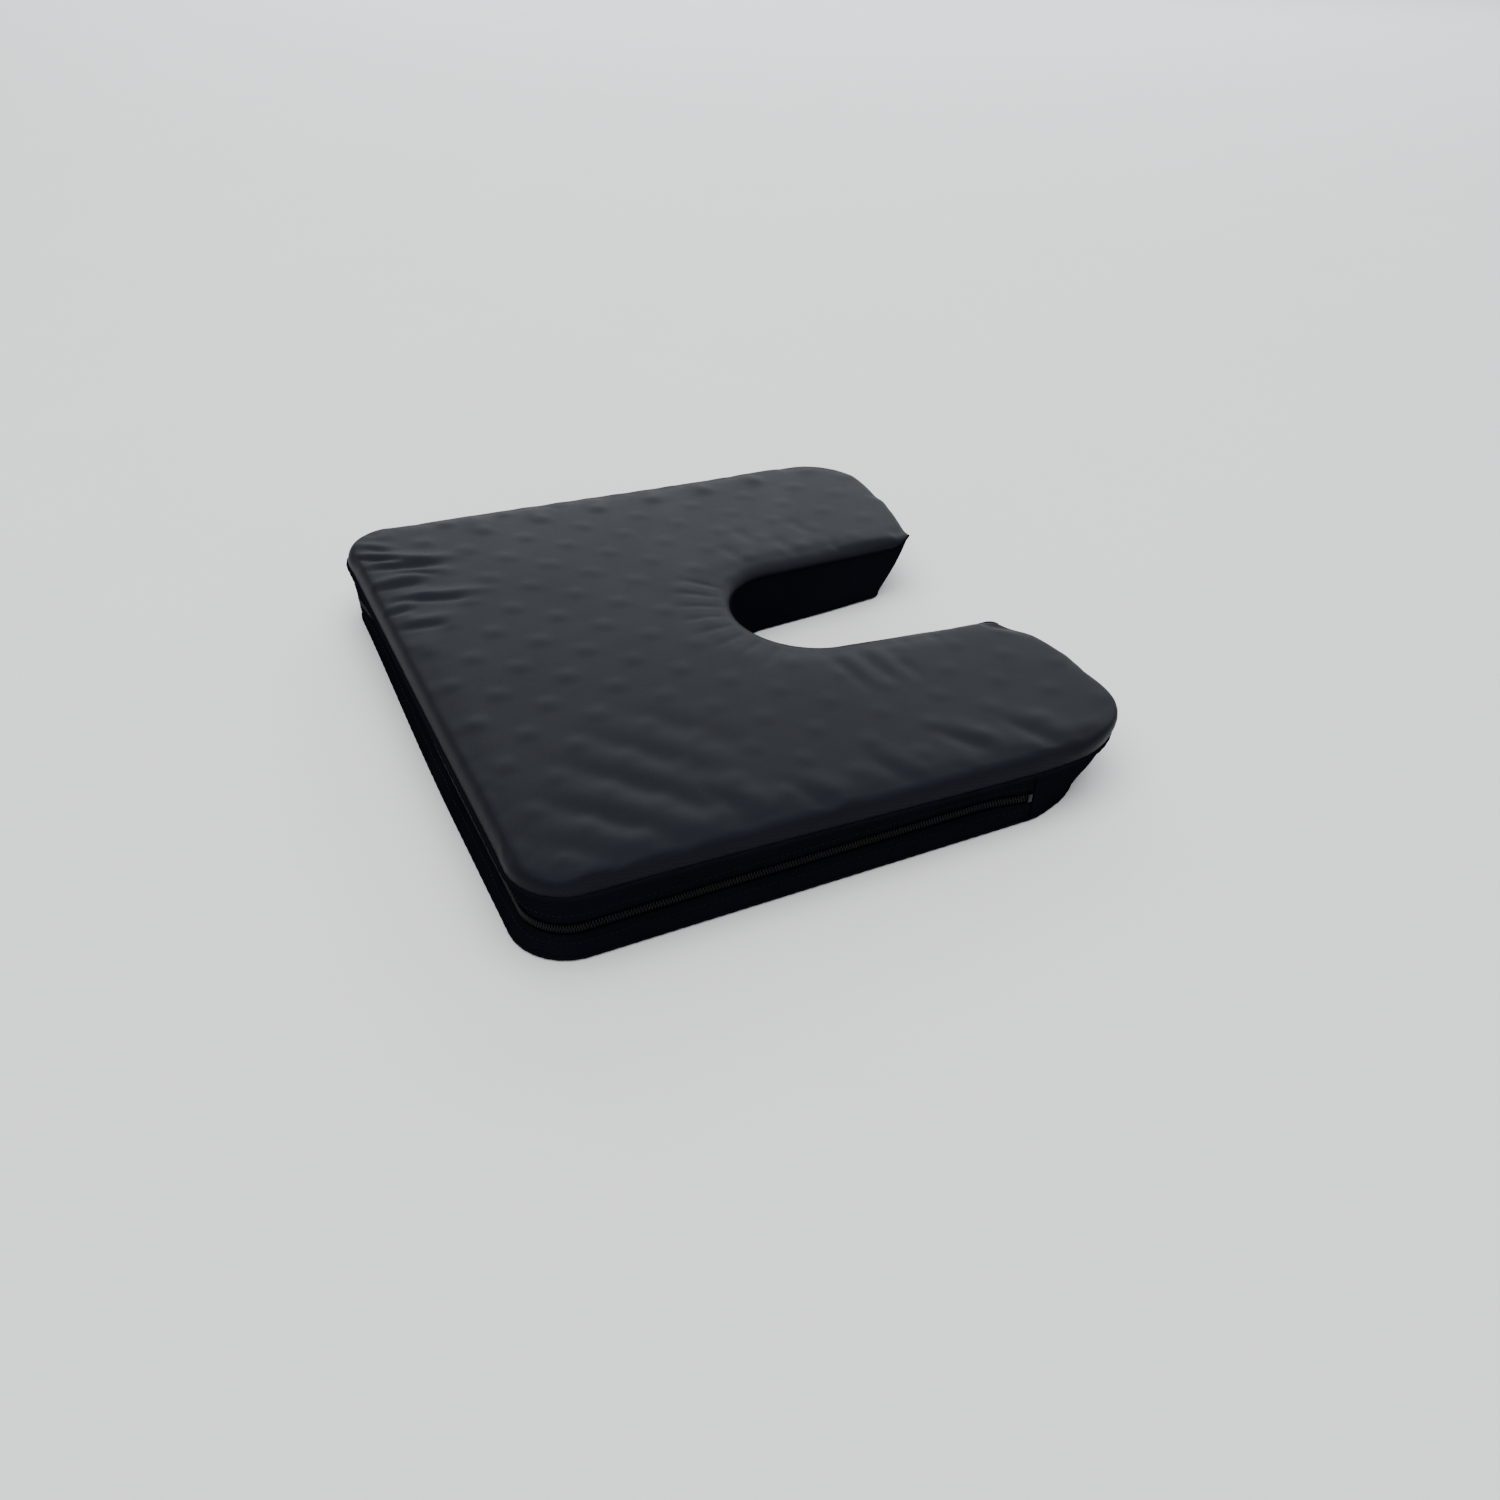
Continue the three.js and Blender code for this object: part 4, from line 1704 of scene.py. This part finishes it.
@dataclass
class Zip:
    """The zip: tapes, interlocked coils, end stops, slider and pull.

    Attributes:
        cover: the cover it closes.
        pivot: where the pull turns.
        tape_w: how far a tape reaches from the middle of the zip.
        tape: a tape's thickness.
        behind: how far the tapes lie behind the cover's face.
        tooth_pitch: the distance between two teeth of one coil.
        tooth: a tooth's size along the zip, out of it and up it.
        tape_gap: half the gap between the tapes.
        sink: how deep the coils lie behind the outline.
        past: how far a tooth reaches past the zip's middle.
        bare: the length of the zip's run that has no teeth.
    """

    cover: Cover
    pivot: Vector
    tape_w: float = 8 * MM
    tape: float = 0.5 * MM
    behind: float = 1.7 * MM
    tooth_pitch: float = 1.55 * MM
    tooth: tuple[float, float, float] = (0.74 * MM, 1.05 * MM, 2.5 * MM)
    tape_gap: float = 0.5 * MM
    sink: float = 0.75 * MM
    past: float = 0.35 * MM
    bare: float = 12 * MM

    def tape_piece(self, side: int) -> bpy.types.Object:
        """One tape, above (1) or below (-1) the zip's middle."""
        form = self.cover.form

        def profile(x: Array, y: Array, run: Array, share: Array) -> tuple[Array, Array]:
            """A flat ribbon behind the strips."""
            offset = -self.behind - form.pull_in(x, y) * self.cover.waist
            reach = self.tape_gap + share * (self.tape_w - self.tape_gap)
            return offset, form.zip_z + side * reach

        name = "zip_upper_tape" if side > 0 else "zip_lower_tape"
        route = self.cover.zip_route()
        return self.cover.wall(name, route, 5, profile, FORWARD, Looks.TAPE, self.tape)

    def coil(self, side: int, name: str) -> bpy.types.Object:
        """One coil: a tooth for each turn, between the teeth of the other coil.

        Args:
            side: 1 above the zip's middle, -1 below.
            name: the piece's name.

        Returns:
            The coil.
        """
        form = self.cover.form
        route = self.cover.zip_route()
        count = int((length(route) - self.bare) / self.tooth_pitch)
        spare = 4
        places = even(route, 2 * (count + spare) + 1)
        spots, out = places[spare:-spare], outward(places)[spare:-spare]
        first = 0 if side > 0 else 1
        depth = self.sink + form.pull_in(spots[:, 0], spots[:, 1]) * self.cover.waist
        tall = self.tooth[2]
        size = Matrix.Diagonal((*self.tooth, 1.0))
        high = np.full(len(spots), form.zip_z + side * (tall / 2 - self.past))
        centres = form.leaned(np.column_stack([spots - out * depth[:, None], high]))
        mesh = bmesh.new()
        for centre, normal in zip(centres[first::2], out[first::2]):
            bmesh.ops.create_cube(mesh, size=1.0, matrix=standing(centre, normal) @ size)
        bevelled(mesh, mesh.edges[:], 0.22 * MM, 1)
        bmesh.ops.recalc_face_normals(mesh, faces=mesh.faces[:])
        return shown(mesh, name, Looks.COIL)

    def stop(self, node: str) -> bpy.types.Object:
        """The staple at one end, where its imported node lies."""
        low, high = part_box(node)
        mesh = bmesh.new()
        block(mesh, [value / MM for value in low], [value / MM for value in high])
        eased(mesh, 0.35 * MM, 3)
        return shown(mesh, f"{node}_staple", Looks.METAL)

    def on_slider(self, mesh: bmesh.types.BMesh) -> None:
        """Moves a piece drawn outwards along +X and along the closed coil on +Y to its place."""
        low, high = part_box("zip_slider")
        middle = (low + high) / 2
        place = Vector((-self.cover.form.half_w, middle.y, self.cover.form.zip_z))
        turned = Matrix.Translation(place) @ Matrix.Rotation(math.pi, 4, "Z")
        bmesh.ops.transform(mesh, matrix=turned, verts=mesh.verts[:])

    def wing(
        self, mesh: bmesh.types.BMesh, long: float, wide: float, low: float, high: float
    ) -> None:
        """Adds one of the slider's wings: a narrow nose, wide shoulders and a narrower tail.

        Args:
            mesh: the slider.
            long: the wing's length in millimetres.
            wide: its width in millimetres.
            low: how far out its inner face lies, in millimetres.
            high: how far out its outer face lies, in millimetres.
        """
        half = wide / 2
        nose, tail = 0.5 * half, 0.78 * half
        plan = [
            (-long / 2, -nose),
            (-long / 4, -half),
            (long / 2, -tail),
            (long / 2, tail),
            (-long / 4, half),
            (-long / 2, nose),
        ]
        face = polygon(mesh, [(low * MM, y * MM, z * MM) for y, z in plan])
        moved = extruded(mesh, [face])
        bmesh.ops.translate(mesh, verts=moved, vec=((high - low) * MM, 0.0, 0.0))

    def slider(self) -> bpy.types.Object:
        """The slider: two wings, the web between them, flanges and the arch."""
        mesh = bmesh.new()
        self.wing(mesh, 11.0, 8.0, 0.2, 1.3)
        self.wing(mesh, 8.8, 6.0, -3.1, -2.3)
        block(mesh, (-2.6, -2.0, -0.2), (0.7, 2.0, 0.2))
        for low, high in ((2.9, 3.7), (-3.7, -2.9)):
            block(mesh, (-0.9, -2.75, low), (0.7, 2.75, high))
        bmesh.ops.recalc_face_normals(mesh, faces=mesh.faces[:])
        eased(mesh, 0.18 * MM)
        self.arch(mesh)
        self.on_slider(mesh)
        return shown(mesh, "zip_slider_body", Looks.METAL)

    def arch(self, mesh: bmesh.types.BMesh) -> None:
        """Adds the arch that holds the pull, spun over the outer wing."""
        outer, inner, half_w, rise = 3.6 * MM, 2.8 * MM, 0.8 * MM, 0.75
        section = [(-outer, -half_w), (-inner, -half_w), (-inner, half_w), (-outer, half_w)]
        before = set(mesh.verts)
        face = polygon(mesh, [(0.0, y, z) for y, z in section])
        bmesh.ops.spin(
            mesh,
            geom=[face, *face.edges, *face.verts],
            cent=(0.0, 0.0, 0.0),
            axis=(0.0, 0.0, 1.0),
            angle=math.pi,
            steps=14,
            use_merge=False,
        )
        hoop = [vert for vert in mesh.verts if vert not in before]
        if max(vert.co.x for vert in hoop) < MM:
            bmesh.ops.scale(mesh, vec=(-1.0, 1.0, 1.0), verts=hoop)
        bmesh.ops.scale(mesh, vec=(rise, 1.0, 1.0), verts=hoop)
        bmesh.ops.translate(mesh, vec=(1.1 * MM, 0.0, 0.0), verts=hoop)
        faces = [face for face in mesh.faces if all(vert in set(hoop) for vert in face.verts)]
        bmesh.ops.recalc_face_normals(mesh, faces=faces)

    def pull(self) -> bpy.types.Object:
        """The pull: an eye round the arch, a flat tab and a hole in its tip."""
        lengths = (-0.5, 0.5, 4.1, 5.3, 17.6, 19.9, 22.2, 23.9)
        widths = (-3.0, -1.3, 1.3, 3.0)
        waist = (3.0, 3.0, 3.0, 2.9, 2.4, 2.6, 2.7, 1.7)
        last_column, last_row = len(widths) - 1, len(lengths) - 1

        def place(across: Array, along: Array) -> Array:
            """Draws the tab flat, narrower in its middle and round at its tip."""
            column, row = nearest(across, last_column), nearest(along, last_row)
            outer = np.sign(np.array(widths))[column] * np.array(waist)[row]
            inner = np.array(widths)[column] * np.where(row == last_row, 0.6, 1.0)
            z = np.where(np.isin(column, (0, last_column)), outer, inner)
            return np.column_stack([np.full_like(z, -0.5), np.array(lengths)[row], z]) * MM

        mesh = cloth_grid(last_column, last_row, place, Vector((-1, 0, 0)))
        openings = []
        for face in mesh.faces:
            centre = face.calc_center_median() / MM
            in_hole = lengths[1] < centre.y < lengths[2] or lengths[5] < centre.y < lengths[6]
            if abs(centre.z) < 0.2 and in_hole:
                openings.append(face)
        bmesh.ops.delete(mesh, geom=openings, context="FACES")
        moved = extruded(mesh, mesh.faces[:])
        bmesh.ops.translate(mesh, verts=moved, vec=(1.0 * MM, 0.0, 0.0))
        bmesh.ops.recalc_face_normals(mesh, faces=mesh.faces[:])
        eased(mesh, 0.22 * MM)
        out = abs(self.pivot.x) - self.cover.form.half_w
        bmesh.ops.translate(mesh, vec=(out, 0.0, 0.0), verts=mesh.verts[:])
        self.on_slider(mesh)
        piece = shown(mesh, "zip_pull_tab", Looks.METAL)
        rounding = piece.modifiers.new("rounding", "SUBSURF")
        rounding.levels = rounding.render_levels = 2
        return piece


# ---------------------------------------------------------------- studio


@dataclass
class Studio:
    """The camera, the soft lights and the pale surface.

    Attributes:
        azimuth: where the camera stands, in degrees from the front towards +X.
        elevation: how high it stands, in degrees.
        tilt: the camera's roll, in degrees.
        distance: how far it stands from its aim.
        aim_side: how far right of the middle it aims.
        aim_down: how far below the middle it aims.
        aim_z: the height of the middle that these start from.
        lens: the focal length in millimetres.
        sensor: the sensor's width in millimetres.
    """

    azimuth: float = 62.76
    elevation: float = 36.8
    tilt: float = 2.24
    distance: float = 0.809
    aim_side: float = 0.0234
    aim_down: float = 0.0500
    aim_z: float = 0.0171
    lens: float = 33.8
    sensor: float = 36.0

    def camera(self) -> bpy.types.Object:
        """Sets up the camera and makes it the scene's."""
        turn, rise, tilt = (math.radians(v) for v in (self.azimuth, self.elevation, self.tilt))
        level = Vector((math.sin(turn), -math.cos(turn), 0.0))
        back = level * math.cos(rise) + UP * math.sin(rise)
        right = Vector((math.cos(turn), math.sin(turn), 0.0))
        up = back.cross(right)
        aim = Vector((0.0, 0.0, self.aim_z)) + right * self.aim_side - up * self.aim_down
        side = right * math.cos(tilt) + up * math.sin(tilt)
        top = up * math.cos(tilt) - right * math.sin(tilt)
        data = bpy.data.cameras.new("camera")
        data.lens = self.lens
        data.sensor_width = self.sensor
        data.clip_start, data.clip_end = 0.01, 50.0
        camera = linked("camera", data)
        axes = Matrix((side, top, back)).transposed()
        camera.matrix_world = Matrix.Translation(aim + back * self.distance) @ axes.to_4x4()
        bpy.context.scene.camera = camera
        return camera

    def light(
        self,
        name: str,
        place: Sequence[float],
        size: tuple[float, float],
        power: float,
        tint: Colour,
    ) -> None:
        """A soft light that looks at the cushion.

        Args:
            name: the light's name.
            place: where it stands, in metres.
            size: its width and height in metres.
            power: its power in watts.
            tint: its colour.
        """
        data = bpy.data.lights.new(name, "AREA")
        data.shape = "RECTANGLE"
        data.size, data.size_y = size
        data.energy = power
        data.color = tuple(tint)
        aim = (-Vector(place)).to_track_quat("-Z", "Y").to_matrix().to_4x4()
        linked(name, data).matrix_world = Matrix.Translation(place) @ aim

    def lights(self) -> None:
        """A broad light behind and to the left, one above, a weak fill and a pale sky."""
        self.light("window", (-2.3, 1.3, 1.1), (3.8, 1.5), 50.0, (0.93, 0.97, 1.0))
        self.light("ceiling", (0.2, -0.3, 2.8), (3.2, 3.2), 95.0, (1.0, 1.0, 1.0))
        self.light("fill", (1.5, -1.6, 1.0), (1.6, 1.6), 1.0, (1.0, 0.98, 0.96))
        world = bpy.data.worlds.new("sky")
        world.use_nodes = True
        sky = world.node_tree.nodes["Background"]
        sky.inputs["Color"].default_value = (0.92, 0.95, 1.0, 1.0)
        sky.inputs["Strength"].default_value = 0.6
        bpy.context.scene.world = world

    def surface(self) -> bpy.types.Object:
        """The floor, as a wide disc."""
        paper = StudioPaper("studio_paper", (0.93, 0.93, 0.925))
        mesh = bmesh.new()
        below = Matrix.Translation((0.0, 0.0, -0.3 * MM))
        bmesh.ops.create_circle(mesh, cap_ends=True, segments=64, radius=6.0, matrix=below)
        data = bpy.data.meshes.new("floor")
        mesh.to_mesh(data)
        mesh.free()
        data.materials.append(paper.material())
        floor = linked("floor", data)
        return floor


# ---------------------------------------------------------------- assembly


# How much wider and longer the top panel is cut than the outline, for its crown and roll.
CROWN_EASE = 30 * MM
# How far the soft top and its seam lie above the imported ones.
TOP_LIFT = 0.8 * MM
SEAM_LIFT = 7.6 * MM


def measured(piece: bpy.types.Object) -> float:
    """The area of a sheet's face in square metres, its thickness left out."""
    return sum(polygon.area for polygon in piece.data.polygons)


def declare(piece: bpy.types.Object, body: str, slot: str, *nodes: str) -> bpy.types.Object:
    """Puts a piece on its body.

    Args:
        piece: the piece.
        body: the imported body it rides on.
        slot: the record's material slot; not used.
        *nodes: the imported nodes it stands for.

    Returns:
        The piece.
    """
    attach(piece, body)
    if nodes:
        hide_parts(*nodes)
    log.info("%s rides on %s: %d faces", piece.name, body, len(piece.data.polygons))
    return piece


def as_sheet(piece: bpy.types.Object, flat: tuple[float, float]) -> None:
    """Works out a panel's area as a sheet of cloth sewn over the foam, and does nothing more with
    it.

    Args:
        piece: the panel.
        flat: the width and length of the cloth it was cut from.
    """
    area = min(measured(piece), flat[0] * flat[1])


def read_form() -> CushionForm:
    """Takes the cushion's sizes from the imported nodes."""
    base_low, base_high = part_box("base_panel")
    _, top_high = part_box("top_panel")
    welt_low, welt_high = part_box("top_welt")
    coil_low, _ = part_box("zip_coil_lower")
    _, coil_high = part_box("zip_coil_upper")
    _, tape_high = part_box("zip_tape_upper")
    return CushionForm(
        half_w=(base_high.x - base_low.x) / 2,
        half_d=-base_low.y,
        thickness=top_high.z + TOP_LIFT,
        seam=(welt_low.z + welt_high.z) / 2 + SEAM_LIFT,
        zip_z=(coil_low.z + coil_high.z) / 2,
        zip_end=tape_high.y,
    )


def build_inside(foam: Foam) -> None:
    """Builds the foam and puts it on its body."""
    slab_low, slab_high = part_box("foam_base")
    crate_low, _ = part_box("foam_topper")
    slab = declare(foam.slab(slab_low.z, slab_high.z), "cushion", "foam_firm", "foam_base")
    crate = declare(foam.egg_crate(crate_low.z), "cushion", "foam_soft", "foam_topper")


def build_cover(cover: Cover) -> None:
    """Builds the panels and strips and puts them on their body."""
    form = cover.form
    top = declare(cover.top_panel(), "cushion", "top_fabric", "top_panel")
    as_sheet(top, (2 * form.half_w + CROWN_EASE, 2 * form.half_d + CROWN_EASE))
    base = declare(cover.base_panel(), "cushion", "base_fabric", "base_panel")
    as_sheet(base, (2 * form.half_w, 2 * form.half_d))
    for node, strip in cover.strips().items():
        declare(strip, "cushion", "side_fabric", node)
        run = cover.runs[strip.name]
        as_sheet(strip, (measured(strip) / run, run))


def build_seams(seams: Seams) -> None:
    """Builds the seam rolls and the stitches and puts them on their body."""
    for key, roll in seams.rolls().items():
        declare(roll, "cushion", "side_fabric", *(["top_welt"] if key == "top" else []))
    cover = seams.cover
    rows = (("upper", cover.upper_profile), ("lower", cover.lower_profile))
    for side, profile in rows:
        declare(seams.stitches(f"stitches_{side}_strip", profile), "cushion", "zip_tape")


def build_zip(zipper: Zip) -> None:
    """Builds the zip and puts its pieces on their bodies."""
    for side, name in ((1, "upper"), (-1, "lower")):
        declare(zipper.tape_piece(side), "cushion", "zip_tape", f"zip_tape_{name}")
        coil = zipper.coil(side, f"zip_{name}_coil_teeth")
        declare(coil, "cushion", "zip_coil", f"zip_coil_{name}")
    for node in ("zip_end_stop_left", "zip_end_stop_right"):
        declare(zipper.stop(node), "cushion", "zip_metal", node)
    declare(zipper.slider(), "slider", "zip_metal", "zip_slider")
    declare(zipper.pull(), "pull", "zip_metal", "zip_pull")


def main(frame: dict[str, Any]) -> None:
    """Builds the cushion round its frame, then the studio.
    """
    logging.basicConfig(level=logging.INFO, format="%(name)s: %(message)s")
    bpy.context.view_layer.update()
    studio = Studio()
    studio.camera()
    studio.surface()
    studio.lights()
    form = read_form()
    folds = TopFolds(form)
    cover = Cover(form, folds)
    hinge = next(joint for joint in frame["joints"] if joint["name"] == "pull_hinge")
    build_inside(Foam(form, folds))
    build_cover(cover)
    build_seams(Seams(cover))
    build_zip(Zip(cover, Vector(hinge["pos_m"])))


if __name__ == "__main__":
    main(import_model())
